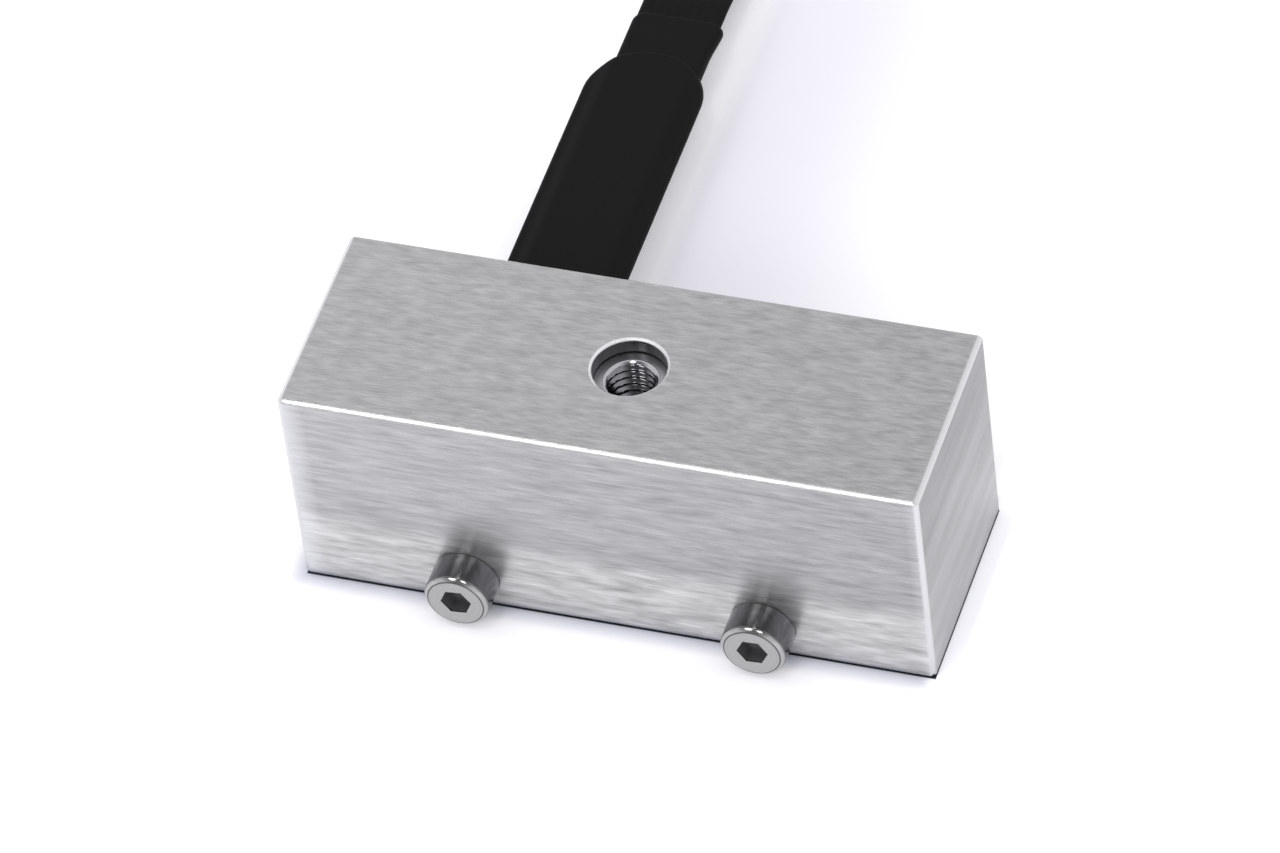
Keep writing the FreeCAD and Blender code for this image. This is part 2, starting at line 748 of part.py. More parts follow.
def make_hank():
    """Outer shape of the rest of the lead, folded to and fro and drawn in at its tie."""
    body = new_body("cable_hank")
    sketch = sketch_on(body, "YZ_Plane", "cable_centre")
    tie_under = "tie_thickness + tie_gap"
    draw_outline(sketch, [
        ("hank_near", "0"), ("waist_near - waist_slope", "0"), ("waist_near", tie_under),
        ("waist_far", tie_under), ("waist_far + waist_slope", "0"), ("hank_far", "0"),
        ("hank_far", "hank_far_height"), ("plug_rear", "hank_far_height"),
        ("plug_rear", "plug_middle + cable_thickness / 2"),
        ("waist_far + waist_slope", "hank_arch_height"), ("waist_far", "waist_top"),
        ("waist_near", "waist_top"), ("waist_near - waist_slope", "hank_near_height"),
        ("hank_near", "hank_near_height"),
    ])
    pad(sketch, "cable_width", symmetric=True)
    far_end = number("hank_far")
    near_fold = (number("hank_near"), number("hank_near_height"))
    folds = [near_fold, (far_end, number("hank_far_height")), (far_end, 0)]
    dress(body, "Fillet", crosswise_at(folds), "hank_fold")


def make_tie():
    """Strap round the hank's waist, with its locking head on top."""
    gap = "tie_gap"
    wall = "(tie_gap + tie_thickness)"
    low = (f"cable_left - {wall}", "tie_near", "0")
    high = (f"cable_right + {wall}", "tie_far", f"waist_top + {wall}")
    strap = block("tie_strap", low, high)
    low = (f"cable_left - {gap}", "tie_near", "tie_thickness")
    high = (f"cable_right + {gap}", "tie_far", f"waist_top + {gap}")
    loop = doc.addObject("Part::Cut", "tie_loop")
    loop.Base = strap
    loop.Tool = block("tie_opening", low, high)
    middle = "(tie_near + tie_far) / 2"
    low = ("cable_centre - tie_head / 2", f"{middle} - tie_head / 2", f"waist_top + {gap}")
    lock_top = f"waist_top + {gap} + tie_head_height"
    high = ("cable_centre + tie_head / 2", f"{middle} + tie_head / 2", lock_top)
    combine("Fuse", "hank_tie", loop, block("tie_lock", low, high))


def make_plug():
    """In-line housing on the lead's end, and the contacts in its openings."""
    body = new_body("plug_housing")
    sketch = sketch_on(body, "XY_Plane", "hank_far_height")
    left = "cable_centre - plug_width / 2"
    right = "cable_centre + plug_width / 2"
    draw_rectangle(sketch, left, right, "plug_rear", "plug_front")
    pad(sketch, "plug_height")
    dress(body, "Chamfer", lambda box: runs_along(box, "Y"), "plug_edge")
    sketch = sketch_on(body, "XZ_Plane", "-plug_front")
    first = f"cable_centre - {(CONTACTS - 1) / 2} * contact_pitch"
    half = "contact_opening / 2"
    floor = "plug_middle - contact_opening_height / 2"
    roof = "plug_middle + contact_opening_height / 2"
    draw_rectangle(sketch, f"{first} - {half}", f"{first} + {half}", floor, roof)
    opening = pocket(sketch, "contact_depth", along_normal=True)
    row = body.newObject("PartDesign::LinearPattern", "LinearPattern")
    row.Originals = [opening]
    row.Direction = (sketch, ["H_Axis"])
    row.Occurrences = CONTACTS
    bind(row, "Length", f"{CONTACTS - 1} * contact_pitch")
    body.Tip = row
    doc.recompute()

    contacts = doc.addObject("Part::Compound", "plug_contacts")
    contacts.Label = "plug_contacts"
    springs = []
    for i in range(CONTACTS):
        middle = f"{first} + {i} * contact_pitch"
        low = (f"{middle} - contact_width / 2", "plug_front - contact_depth", floor)
        top = f"{floor} + contact_thickness"
        high = (f"{middle} + contact_width / 2", "plug_front - contact_setback", top)
        springs.append(block(f"contact_{i + 1}", low, high))
    contacts.Links = springs
    nodes.append(contacts)


def check_and_write():
    """Stops on any failed object or bad solid, then writes one file for each node."""
    doc.recompute()
    failed = [thing.Label for thing in doc.Objects if {"Invalid", "Error"} & set(thing.State)]
    bad = [node.Label for node in nodes if node.Shape.isNull() or not node.Shape.isValid()]
    if failed or bad:
        raise RuntimeError(f"failed objects: {failed}, bad solids: {bad}")
    os.makedirs("parts", exist_ok=True)
    for node in nodes:
        node.Shape.exportStep(os.path.join("parts", node.Label + ".step"))
        print(f"{node.Label}: {len(node.Shape.Solids)} solid(s), {node.Shape.Volume:.1f} mm3")


make_cover()
make_base()
make_beam()
make_screws()
make_gauges()
make_board()
make_cable_tail()
make_cable_seal()
make_sleeves()
make_flat_cable()
make_hank()
make_tie()
make_plug()
check_and_write()
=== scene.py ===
# %% [markdown]
# # Two-axis load cell
#
# The cell is a brushed aluminium block with a flat black lead. A force comes in at the thread below the
# round hole, and foil gauges inside turn it into two signals, one for each axis.
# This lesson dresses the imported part. The solids come in as they are, every surface gets its finish, and
# the pieces that a plain solid can't show well are made anew where they lie: the lead, its two sleeves,
# the tie, the front screws and the thread. Lengths are metres in the part's own frame, so a size in
# millimetres is written times MM.

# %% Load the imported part
import math

import bmesh
import bpy
import numpy as np
from mathutils import Matrix, Vector


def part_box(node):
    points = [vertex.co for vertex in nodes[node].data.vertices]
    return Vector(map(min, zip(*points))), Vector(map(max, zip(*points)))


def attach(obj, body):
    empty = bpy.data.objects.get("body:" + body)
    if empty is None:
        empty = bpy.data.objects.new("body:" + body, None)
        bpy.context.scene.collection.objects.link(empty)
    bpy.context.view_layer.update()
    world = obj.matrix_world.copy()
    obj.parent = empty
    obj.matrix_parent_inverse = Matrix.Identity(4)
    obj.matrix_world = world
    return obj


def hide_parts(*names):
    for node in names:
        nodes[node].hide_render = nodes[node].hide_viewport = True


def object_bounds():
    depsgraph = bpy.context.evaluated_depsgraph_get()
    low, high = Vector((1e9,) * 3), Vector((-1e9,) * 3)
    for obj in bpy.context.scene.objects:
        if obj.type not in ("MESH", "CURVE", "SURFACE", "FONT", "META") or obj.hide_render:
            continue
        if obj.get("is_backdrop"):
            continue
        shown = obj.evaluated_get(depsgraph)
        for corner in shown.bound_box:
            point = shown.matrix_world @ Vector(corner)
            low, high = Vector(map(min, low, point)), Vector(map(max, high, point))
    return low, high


MM = 0.001
BODY = "root"

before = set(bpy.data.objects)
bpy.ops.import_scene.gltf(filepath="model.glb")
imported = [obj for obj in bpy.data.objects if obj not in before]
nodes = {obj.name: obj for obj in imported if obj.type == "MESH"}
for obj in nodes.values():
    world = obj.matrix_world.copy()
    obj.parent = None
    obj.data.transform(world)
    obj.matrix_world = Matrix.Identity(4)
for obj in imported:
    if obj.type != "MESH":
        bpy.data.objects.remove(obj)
scene = bpy.context.scene
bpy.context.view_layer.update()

# %% [markdown]
# ## Camera
#
# The block's edges hardly converge in the photograph, so it was taken from about a metre away with a long
# lens, from the right and from well above, and the camera was tilted a little. A camera can be aimed with
# a constraint, but one matrix made of an aim point, two angles and a roll says the same and stays put.

# %% Camera
AIM = Vector((-1.34, 3.91, 13.5)) * MM
DISTANCE = 988 * MM
AZIMUTH, ELEVATION, ROLL = 22.87, 46.3, -7.71
LENS = 262.6


def direction(azimuth, elevation):
    """The unit vector towards a place in the room, in degrees: azimuth 0 is in front, 90 to the right."""
    azimuth, elevation = math.radians(azimuth), math.radians(elevation)
    level = math.cos(elevation)
    return Vector((math.sin(azimuth) * level, -math.cos(azimuth) * level, math.sin(elevation)))


towards_camera = direction(AZIMUTH, ELEVATION)
camera = bpy.data.objects.new("camera", bpy.data.cameras.new("camera"))
camera.data.lens = LENS
place = Matrix.Translation(AIM + towards_camera * DISTANCE)
turn = towards_camera.to_track_quat("Z", "Y").to_matrix().to_4x4()
camera.matrix_world = place @ turn @ Matrix.Rotation(math.radians(ROLL), 4, "Z")
scene.collection.objects.link(camera)
scene.camera = camera
scene.view_settings.view_transform = "Standard"
print("camera at", [round(value / MM) for value in camera.matrix_world.translation], "mm")

# %% [markdown]
# ## Colours and nodes
#
# A finish is a tree of nodes. Colours are written as the hex values that a paint program shows, and one
# function makes them linear, because light adds up in linear values. Another adds a node with its
# settings, values and links, so that a finish reads from the top down. A Mix node has a set of inputs for
# each kind of value: 2 and 3 mix numbers, 4 and 5 vectors, 6 and 7 colours, by the share at 0.

# %% Colours and nodes
def linear(code):
    """An sRGB hex code as a linear colour with full opacity."""
    shares = [int(code[i:i + 2], 16) / 255 for i in (1, 3, 5)]
    return (*[s / 12.92 if s <= 0.04045 else ((s + 0.055) / 1.055) ** 2.4 for s in shares], 1.0)


def add(tree, kind, inputs=None, **settings):
    """Adds a node, with its settings, and gives its inputs values or links."""
    node = tree.nodes.new("ShaderNode" + kind)
    for name, value in settings.items():
        setattr(node, name, value)
    for key, value in (inputs or {}).items():
        if isinstance(value, bpy.types.NodeSocket):
            tree.links.new(value, node.inputs[key])
        else:
            node.inputs[key].default_value = value
    return node


def new_finish(name, **values):
    """A material with the shader's own sockets set, its tree and its shader."""
    material = bpy.data.materials.new(name)
    material.use_nodes = True
    shader = material.node_tree.nodes["Principled BSDF"]
    for key, value in values.items():
        shader.inputs[key.replace("_", " ").title().replace("Ior", "IOR")].default_value = value
    return material, material.node_tree, shader


def dress(finish, *names):
    """Gives solids of the part a finish."""
    for name in names:
        nodes[name].data.materials.clear()
        nodes[name].data.materials.append(finish)
    print(finish.name, "on", len(names), "of the solids")


print("a grey of 128 is", round(linear("#808080")[0], 3), "in linear light")

# %% [markdown]
# ## The lead's jacket: extruded PVC
#
# Soft black PVC with a matt, slightly grained surface from the extruder. It gives the eye a deep black
# with a broad, weak sheen and a thin pale line along each edge. A glossy black would mirror the pale
# room, so the mirror part is weak, and the grain is drawn in the roughness and as a fine bump. The grain
# is about a tenth of a millimetre on such a jacket, and coarser here so that it shows.

# %% The lead's jacket
GRAIN = 0.35 * MM
GRAIN_DEPTH, GRAIN_STRENGTH = 0.02 * MM, 0.25
GLOSS_SPREAD = 0.08
FINE_DETAIL = 3.0
PLASTIC_IOR = 1.53


def black_jacket(name, colour, roughness, specular):
    """Matt black plastic with a fine grain."""
    finish, tree, shader = new_finish(name, base_color=linear(colour), ior=PLASTIC_IOR,
                                      specular_ior_level=specular)
    place = add(tree, "TexCoord").outputs["Object"]
    grain = add(tree, "TexNoise", {"Vector": place, "Scale": 1 / GRAIN, "Detail": FINE_DETAIL}).outputs[0]
    gloss = add(tree, "MapRange", {0: grain, 3: roughness - GLOSS_SPREAD, 4: roughness + GLOSS_SPREAD})
    bump = add(tree, "Bump", {"Height": grain, "Strength": GRAIN_STRENGTH, "Distance": GRAIN_DEPTH})
    tree.links.new(gloss.outputs[0], shader.inputs["Roughness"])
    tree.links.new(bump.outputs[0], shader.inputs["Normal"])
    return finish


lead_jacket = black_jacket("extruded_pvc", "#121213", roughness=0.55, specular=0.07)
dress(lead_jacket, "cable_tail")

# %% [markdown]
# ## The lead's route
#
# A flat eight-way lead, 9.8 mm wide and 1 mm thick, about 0.3 m long. Its sleeves hold it straight where
# it leaves the block, a few millimetres above the table, and past the picture's edge it comes down. There
# the rest is folded to and fro into a hank, with a tie round its middle and the plug on top. A simulation
# could lay it, but points listed as (along, up) and smoothed by a spline come out the same each time.

# %% The lead's route
LEAD_X = -18.7
LEAD_WIDTH = 9.8
LEAD_THICKNESS = 1.0
ROUTE_STEPS = 10
ROUTE = [
    # Out of the block and through both sleeves
    (8.6, 5.0), (30, 5.0), (54, 5.0), (70, 5.0), (78, 5.0),
    # Down to the table and over the tie's strap
    (92, 0.5), (101, 0.5), (113, 0.5), (122, 0.55), (126, 0.95), (130.5, 1.75), (135.5, 1.75),
    (140, 0.95), (144, 0.55), (153, 0.5), (162, 0.5),
    # Far fold and the way back
    (166.5, 0.5), (170.5, 0.5), (170.5, 4.3), (166.5, 4.3), (157, 4.3), (147, 4.3), (142, 4.2),
    (138.5, 3.75), (135.5, 3.5), (130.5, 3.5), (127.5, 3.75), (124, 4.2), (118, 4.3), (109, 4.3),
    # Near fold, over the tie again and into the plug
    (103.5, 4.3), (99.5, 4.3), (99.5, 8.1), (103.5, 8.1), (112, 8.1), (120, 8.05), (125, 7.2), (128, 5.9),
    (130.5, 5.3), (135.5, 5.3), (138, 5.9), (141, 7.2), (146, 8.05), (151, 7.6), (154, 6.95), (157, 6.9),
]


def spline_points(route, steps):
    """Points along a smooth spline whose control points are the route's, in the plane of the lead."""
    curve = bpy.data.curves.new("route", "CURVE")
    curve.dimensions = "3D"
    spline = curve.splines.new("NURBS")
    spline.points.add(len(route) - 1)
    for point, (along, up) in zip(spline.points, route):
        point.co = (LEAD_X * MM, along * MM, up * MM, 1)
    spline.order_u = 3
    spline.use_endpoint_u = True
    spline.resolution_u = steps
    holder = bpy.data.objects.new("route", curve)
    line = bpy.data.meshes.new_from_object(holder)
    points = np.array([vertex.co for vertex in line.vertices])
    bpy.data.objects.remove(holder)
    bpy.data.meshes.remove(line)
    return points


path = spline_points(ROUTE, ROUTE_STEPS)
print("lead length in mm:", round(np.linalg.norm(np.diff(path, axis=0), axis=1).sum() / MM, 1))

# %% [markdown]
# ## The lead
#
# A bevelled curve would be round, so the lead's flat section, with a low rib over each core, is carried
# along the points, and one function lays a skin over the row of rings. The ribbon only bends up and down,
# which keeps its width along X. The same skin later makes the sleeves, the tie, the screws and the thread.

# %% The lead
CORES = 8
RIB = 0.04
RIB_STEPS = 6
EDGE_STEPS = 6


def lead_section():
    """The lead's outline as (across, up): ribs over the cores and round edges."""
    reach = LEAD_THICKNESS / 2
    flat = LEAD_WIDTH / 2 - reach
    across = np.linspace(-flat, flat, CORES * RIB_STEPS + 1)
    up = reach - RIB + RIB * np.sin(np.arange(len(across)) * np.pi / RIB_STEPS) ** 2
    angles = np.linspace(np.pi / 2, -np.pi / 2, EDGE_STEPS + 2)[1:-1]
    edge_across = flat + reach * np.cos(angles)
    edge_up = (reach - RIB) * np.sin(angles)
    half = np.column_stack([np.concatenate([across, edge_across]), np.concatenate([up, edge_up])])
    return np.concatenate([half, -half]) * MM


def skin(name, rings, loop=False, crease=40):
    """A closed mesh over a row of rings, capped at its ends or joined to a loop, sharp past the crease."""
    rings = np.asarray(rings, float)
    count, size = rings.shape[:2]
    faces = []
    for i in range(count if loop else count - 1):
        here, there = i * size, (i + 1) % count * size
        for j in range(size):
            k = (j + 1) % size
            faces.append((here + j, here + k, there + k, there + j))
    if not loop:
        faces += [tuple(range(size)), tuple(range((count - 1) * size, count * size))]
    mesh = bpy.data.meshes.new(name)
    mesh.from_pydata(rings.reshape(-1, 3).tolist(), [], faces)
    work = bmesh.new()
    work.from_mesh(mesh)
    bmesh.ops.recalc_face_normals(work, faces=work.faces)
    work.to_mesh(mesh)
    work.free()
    mesh.shade_smooth()
    mesh.set_sharp_from_angle(angle=math.radians(crease))
    return mesh


def new_piece(name, mesh, finish, slot, *stands_for, placed=Matrix.Identity(4)):
    """An object that rides on the part, wears a finish and stands for some of its solids."""
    piece = bpy.data.objects.new(name, mesh)
    piece.matrix_world = placed
    mesh.materials.append(finish)
    scene.collection.objects.link(piece)
    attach(piece, BODY)
    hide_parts(*stands_for)
    print(name, "has", len(mesh.polygons), "faces")
    return piece


tangent = np.gradient(path, axis=0)
tangent /= np.linalg.norm(tangent, axis=1)[:, None]
upward = np.column_stack([np.zeros(len(path)), -tangent[:, 2], tangent[:, 1]])
section = lead_section()
rings = path[:, None, :] + section[None, :, 1, None] * upward[:, None, :]
rings[:, :, 0] += section[None, :, 0]
lead = new_piece("lead", skin("lead", rings), lead_jacket, "lead_jacket", "flat_cable", "cable_hank")

# %% [markdown]
# ## The sleeves: shrunk polyolefin
#
# Two sleeves of shrunk tubing cover the lead where it leaves the block. The wide one was pressed flat:
# it is thick over the lead, thin along its margins, and its end is cut round. The narrow one clings to
# the lead and ends in a small flare on its right. They give the eye the same black as the lead, a shade
# smoother. Each is a row of sections whose thickness falls away towards the outline, so the rim is round
# and catches a thin line of light, which a flat plate with a bevel wouldn't.

# %% The sleeves
SLEEVE_RINGS = 60
SLEEVE_ACROSS = 48
WIDE = {"corner": 6.6, "margin": 1.1, "slope": (0.6, 2.6), "rim": 0.5, "flare": 0.0}
NARROW = {"corner": 1.5, "margin": 1.35, "slope": (0.2, 1.0), "rim": 0.5, "flare": 0.35}
FLARE_LENGTH = 5.5
FLARE_TIP = 0.9

sleeve_tube = black_jacket("shrunk_polyolefin", "#121212", roughness=0.5, specular=0.07)


def smooth_step(values, start, end):
    """0 before the start, 1 after the end, and a smooth rise between them."""
    share = np.clip((np.asarray(values, float) - start) / (end - start), 0, 1)
    return share * share * (3 - 2 * share)


def pressed_sleeve(low, high, corner, margin, slope, rim, flare):
    """Rings of a flat sleeve in a box of mm: its margins' thickness, their slope and its rim's radius."""
    middle = (low + high) / 2
    half, thickness = (high.x - low.x) / 2, high.z - low.z
    end = high.y - corner
    turn = np.linspace(0, np.pi / 2, SLEEVE_RINGS // 2)
    straight = np.linspace(low.y, end, SLEEVE_RINGS // 2, endpoint=False)
    share = np.sin(np.linspace(-np.pi / 2, np.pi / 2, SLEEVE_ACROSS))
    rings = []
    for y in np.concatenate([straight, end + corner * np.sin(turn)]):
        into_end = max(y - end, 0)
        across = share * (half - corner + math.sqrt(max(corner ** 2 - into_end ** 2, 0)))
        beyond = np.maximum(np.abs(across) - (half - corner), 0)
        inset = corner - np.hypot(beyond, into_end) if into_end else half - np.abs(across)
        round_off = np.sqrt(1 - (1 - np.clip(inset / rim, 0, 1)) ** 2)
        depth = margin + (thickness - margin) * smooth_step(half - np.abs(across), *slope)
        rise = smooth_step(y, high.y - FLARE_LENGTH, high.y - FLARE_TIP)
        bulge = flare * rise * (1 - smooth_step(y, high.y - FLARE_TIP, high.y))
        x = middle.x + across + bulge * smooth_step(across, 0, half)
        upper = np.column_stack([x, np.full_like(x, y), middle.z + depth / 2 * round_off])
        lower = np.column_stack([x, np.full_like(x, y), middle.z - depth / 2 * round_off])
        rings.append(np.concatenate([upper, lower[::-1][1:-1]]))
    return np.array(rings) * MM


def new_sleeve(name, node, form):
    """A sleeve in the place of its solid."""
    low, high = [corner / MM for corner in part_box(node)]
    mesh = skin(name, pressed_sleeve(low, high, **form))
    return new_piece(name, mesh, sleeve_tube, "sleeve_polyolefin", node)


wide_sleeve = new_sleeve("wide_sleeve", "cable_sleeve", WIDE)
narrow_sleeve = new_sleeve("narrow_sleeve", "cable_shrink", NARROW)

# %% [markdown]
# ## The tie: moulded black nylon
#
# A small nylon tie holds the hank. Its strap is a loop with rounded corners and cut edges, and its head
# is a bevelled block. A curve with a bevel could make the strap too, but the skin is at hand and keeps the
# section flat. Nylon from a mould gives the eye a satin black, a little paler than the lead, whose gloss
# wanders. One function makes such finishes, where colour and gloss drift between two values: many of the
# smaller pieces need no more.

# %% The tie
STRAP_CORNER = 1.5
STRAP_STEPS = 8
STRAP_TOP = 7.0
STRAP_THICKNESS = 1.0
STRAP_WIDTH = 2.5
STRAP_EDGE = 0.2
HEAD_HALF, HEAD_SINK, HEAD_EDGE = 2.3, 1.1, 0.4
HEAD_SEGMENTS, ROUND_PROFILE = 3, 0.5
DRIFT_LOW, DRIFT_HIGH = 0.3, 0.7


def grained(name, dark, light, size, gloss, **values):
    """A finish whose colour and gloss wander between two values, in patches of a given size."""
    finish, tree, shader = new_finish(name, **values)
    place = add(tree, "TexCoord").outputs["Object"]
    grain = add(tree, "TexNoise", {"Vector": place, "Scale": 1 / size, "Detail": FINE_DETAIL}).outputs[0]
    share = add(tree, "MapRange", {0: grain, 1: DRIFT_LOW, 2: DRIFT_HIGH}).outputs[0]
    colour = add(tree, "Mix", {0: share, 6: linear(dark), 7: linear(light)}, data_type="RGBA").outputs[2]
    roughness = add(tree, "MapRange", {0: share, 3: gloss[0], 4: gloss[1]}).outputs[0]
    tree.links.new(colour, shader.inputs["Base Color"])
    tree.links.new(roughness, shader.inputs["Roughness"])
    return finish


def rounded_loop(left, right, bottom, top, radius):
    """Centre and outward direction along a rectangle with round corners, in a plane of X and Z."""
    points, outward = [], []
    corners = [(right, top, 0), (left, top, 90), (left, bottom, 180), (right, bottom, 270)]
    for x, z, start in corners:
        inner_x = x - math.copysign(radius, x - (left + right) / 2)
        inner_z = z - math.copysign(radius, z - (bottom + top) / 2)
        for i in range(STRAP_STEPS + 1):
            angle = math.radians(start + 90 * i / STRAP_STEPS)
            way = np.array([math.cos(angle), math.sin(angle)])
            points.append(np.array([inner_x, inner_z]) + radius * way)
            outward.append(way)
    return np.array(points), np.array(outward)


def strap_section():
    """The strap's outline as (along the lead, outward): a rectangle with its four edges cut."""
    wide, thick = STRAP_WIDTH / 2, STRAP_THICKNESS / 2
    corner = [(wide, thick - STRAP_EDGE), (wide - STRAP_EDGE, thick)]
    outer = corner + [(-y, out) for y, out in reversed(corner)]
    return outer + [(y, -out) for y, out in reversed(outer)]


def soft_box(name, low, high, edge):
    """A bevelled box between two corners in mm."""
    work = bmesh.new()
    bmesh.ops.create_cube(work, size=1.0)
    bmesh.ops.scale(work, vec=(high - low) * MM, verts=work.verts)
    bmesh.ops.translate(work, vec=(high + low) / 2 * MM, verts=work.verts)
    bmesh.ops.bevel(work, geom=work.edges[:], offset=edge * MM, segments=HEAD_SEGMENTS,
                    profile=ROUND_PROFILE, affect="EDGES")
    mesh = bpy.data.meshes.new(name)
    work.to_mesh(mesh)
    work.free()
    mesh.shade_smooth()
    return mesh


tie_nylon = grained("moulded_nylon_black", "#191919", "#1E1E1F", 1.5 * MM, (0.32, 0.48), ior=PLASTIC_IOR)
low, high = [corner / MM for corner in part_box("hank_tie")]
tie_y = (low.y + high.y) / 2
inset = STRAP_THICKNESS / 2
centres, outward = rounded_loop(low.x + inset, high.x - inset, inset, STRAP_TOP - inset, STRAP_CORNER)
rings = []
for (x, z), (out_x, out_z) in zip(centres, outward):
    rings.append([(x + out * out_x, tie_y + y, z + out * out_z) for y, out in strap_section()])
strap = skin("tie_strap", np.array(rings) * MM, loop=True)
tie = new_piece("tie_strap", strap, tie_nylon, "tie_nylon", "hank_tie")
head_low = Vector((LEAD_X - HEAD_HALF, tie_y - HEAD_HALF, STRAP_TOP - HEAD_SINK))
head_high = Vector((LEAD_X + HEAD_HALF, tie_y + HEAD_HALF, high.z))
head = soft_box("tie_head", head_low, head_high, HEAD_EDGE)
tie_head = new_piece("tie_head", head, tie_nylon, "tie_nylon")

# %% [markdown]
# ## The plug: natural nylon and tinned bronze
#
# The plug's housing and contacts are right as solids, so they only get a finish. Undyed nylon gives the
# eye a warm, milky white with a soft gloss, and its edges are softened in the shading, by a Bevel node,
# because a solid's mesh stays as it is. The contacts are bronze with a coat of tin, a pale, warm metal.

# %% The plug
PLUG_EDGE = 0.12 * MM
BEVEL_SAMPLES = 8
HALF_DEPTH = 12.5 * MM

plug_nylon = grained("moulded_nylon_natural", "#E2DDCF", "#E6E2D5", 2.0 * MM, (0.36, 0.48),
                     ior=PLASTIC_IOR)
tree = plug_nylon.node_tree
soft_edges = add(tree, "Bevel", {"Radius": PLUG_EDGE}, samples=BEVEL_SAMPLES).outputs[0]
tree.links.new(soft_edges, tree.nodes["Principled BSDF"].inputs["Normal"])
dress(plug_nylon, "plug_housing")
contact_bronze = grained("tinned_bronze", "#BEB6A2", "#D2CCBC", 0.3 * MM, (0.22, 0.36), metallic=1.0)
dress(contact_bronze, "plug_contacts")

# %% [markdown]
# ## Brushed aluminium: which face is where
#
# The cover was milled from aluminium bar and brushed on a belt, along its length on the top and the
# sides, across it on the two ends. The finish has to know which face it is on. Each face could have a
# material of its own, but the direction of the normal tells them apart as well. A Bevel node rounds that
# normal near the edges, so the same numbers also find the rounded edges, and with a smaller radius the
# rim of the hole.

# %% Brushed aluminium: which face is where
HALF_LENGTH = 35 * MM
SOFT_EDGE, SOFT_RIM = 0.62 * MM, 0.3 * MM
RIM_RADIUS = 5.0 * MM
HOLE_RADIUS = 4.1 * MM
HOLE_RIM = 26.7 * MM
ON_FACE = 0.75
FACE_SHARE, EDGE_SHARE = 0.985, 0.9

brushed_aluminium, tree, shader = new_finish("belt_brushed_aluminium", metallic=1.0, anisotropic=0.75)
place = add(tree, "TexCoord").outputs["Object"]
at = add(tree, "SeparateXYZ", {0: place}).outputs
level = add(tree, "CombineXYZ", {0: at["X"], 1: at["Y"]}).outputs[0]
from_axis = add(tree, "VectorMath", {0: level}, operation="LENGTH").outputs["Value"]
by_hole = add(tree, "Math", {0: from_axis, 1: RIM_RADIUS}, operation="LESS_THAN").outputs[0]
softness = add(tree, "Mix", {0: by_hole, 2: SOFT_EDGE, 3: SOFT_RIM}, data_type="FLOAT").outputs[0]
normal = add(tree, "Bevel", {"Radius": softness}, samples=BEVEL_SAMPLES).outputs[0]
facing = add(tree, "VectorMath", {0: normal}, operation="ABSOLUTE").outputs[0]
slant = add(tree, "SeparateXYZ", {0: facing}).outputs
on_end = add(tree, "Math", {0: slant["X"], 1: ON_FACE}, operation="GREATER_THAN").outputs[0]
on_side = add(tree, "Math", {0: slant["Y"], 1: ON_FACE}, operation="GREATER_THAN").outputs[0]
steepest = add(tree, "Math", {0: slant["X"], 1: slant["Y"]}, operation="MAXIMUM").outputs[0]
steepest = add(tree, "Math", {0: steepest, 1: slant["Z"]}, operation="MAXIMUM").outputs[0]
on_edge = add(tree, "MapRange", {0: steepest, 1: FACE_SHARE, 2: EDGE_SHARE}).outputs[0]
on_rim = add(tree, "Math", {0: by_hole, 1: on_edge}, operation="MULTIPLY").outputs[0]
# Where the wall of the hole below its rim gets its painted shade
inside = add(tree, "Math", {0: from_axis, 1: HOLE_RADIUS}, operation="LESS_THAN").outputs[0]
under = add(tree, "Math", {0: at["Z"], 1: HOLE_RIM}, operation="LESS_THAN").outputs[0]
bore_shade = add(tree, "Math", {0: inside, 1: under}, operation="MULTIPLY").outputs[0]
print("edges round off over", round(SOFT_EDGE / MM, 2), "mm, the hole's rim over", round(SOFT_RIM / MM, 2))

# %% [markdown]
# ## Brushed aluminium: the lines
#
# Brushing leaves fine parallel lines, a few hundredths of a millimetre wide on the real thing, and drawn
# wider here so that they show. A picture of brushed metal could be wrapped round the block, but noise
# needs no file and has no seams. It is drawn out along the brushing: short strokes on the top, longer ones
# on the sides and long ones on the ends. Broader bands of the same kind lie under them, more of them low
# down on the front and back, where the greys are also paler.

# %% Brushed aluminium: the lines
LINE_WIDTH, LINE_DETAIL = 0.2 * MM, 5.0
BAND_WIDTH, BAND_STRETCH = 0.8 * MM, 1.6
TOP_LENGTH, SIDE_LENGTH, END_LENGTH = 1.8 * MM, 2.8 * MM, 12 * MM
END_HEIGHT = 0.35
PALE_FROM, PALE_TO = 11.0 * MM, 7.5 * MM
FACE_BANDS, END_BANDS, PALE_BANDS = 0.45, 0.7, 0.65


def brush_lines(width, stretch, detail):
    """Noise drawn out along the brushing: short on the top, longer on the sides, turned on the ends."""
    scales = [
        (1 / (TOP_LENGTH * stretch), 1 / width, 1 / width),
        (1 / (SIDE_LENGTH * stretch), 1 / width, 1 / width),
        (1 / width, 1 / (END_LENGTH * stretch), END_HEIGHT / width),
    ]
    ways = [add(tree, "Mapping", {"Vector": place, "Scale": scale}).outputs[0] for scale in scales]
    level = add(tree, "Mix", {0: on_side, 4: ways[0], 5: ways[1]}, data_type="VECTOR").outputs[1]
    way = add(tree, "Mix", {0: on_end, 4: level, 5: ways[2]}, data_type="VECTOR").outputs[1]
    return add(tree, "TexNoise", {"Vector": way, "Scale": 1.0, "Detail": detail}).outputs[0]


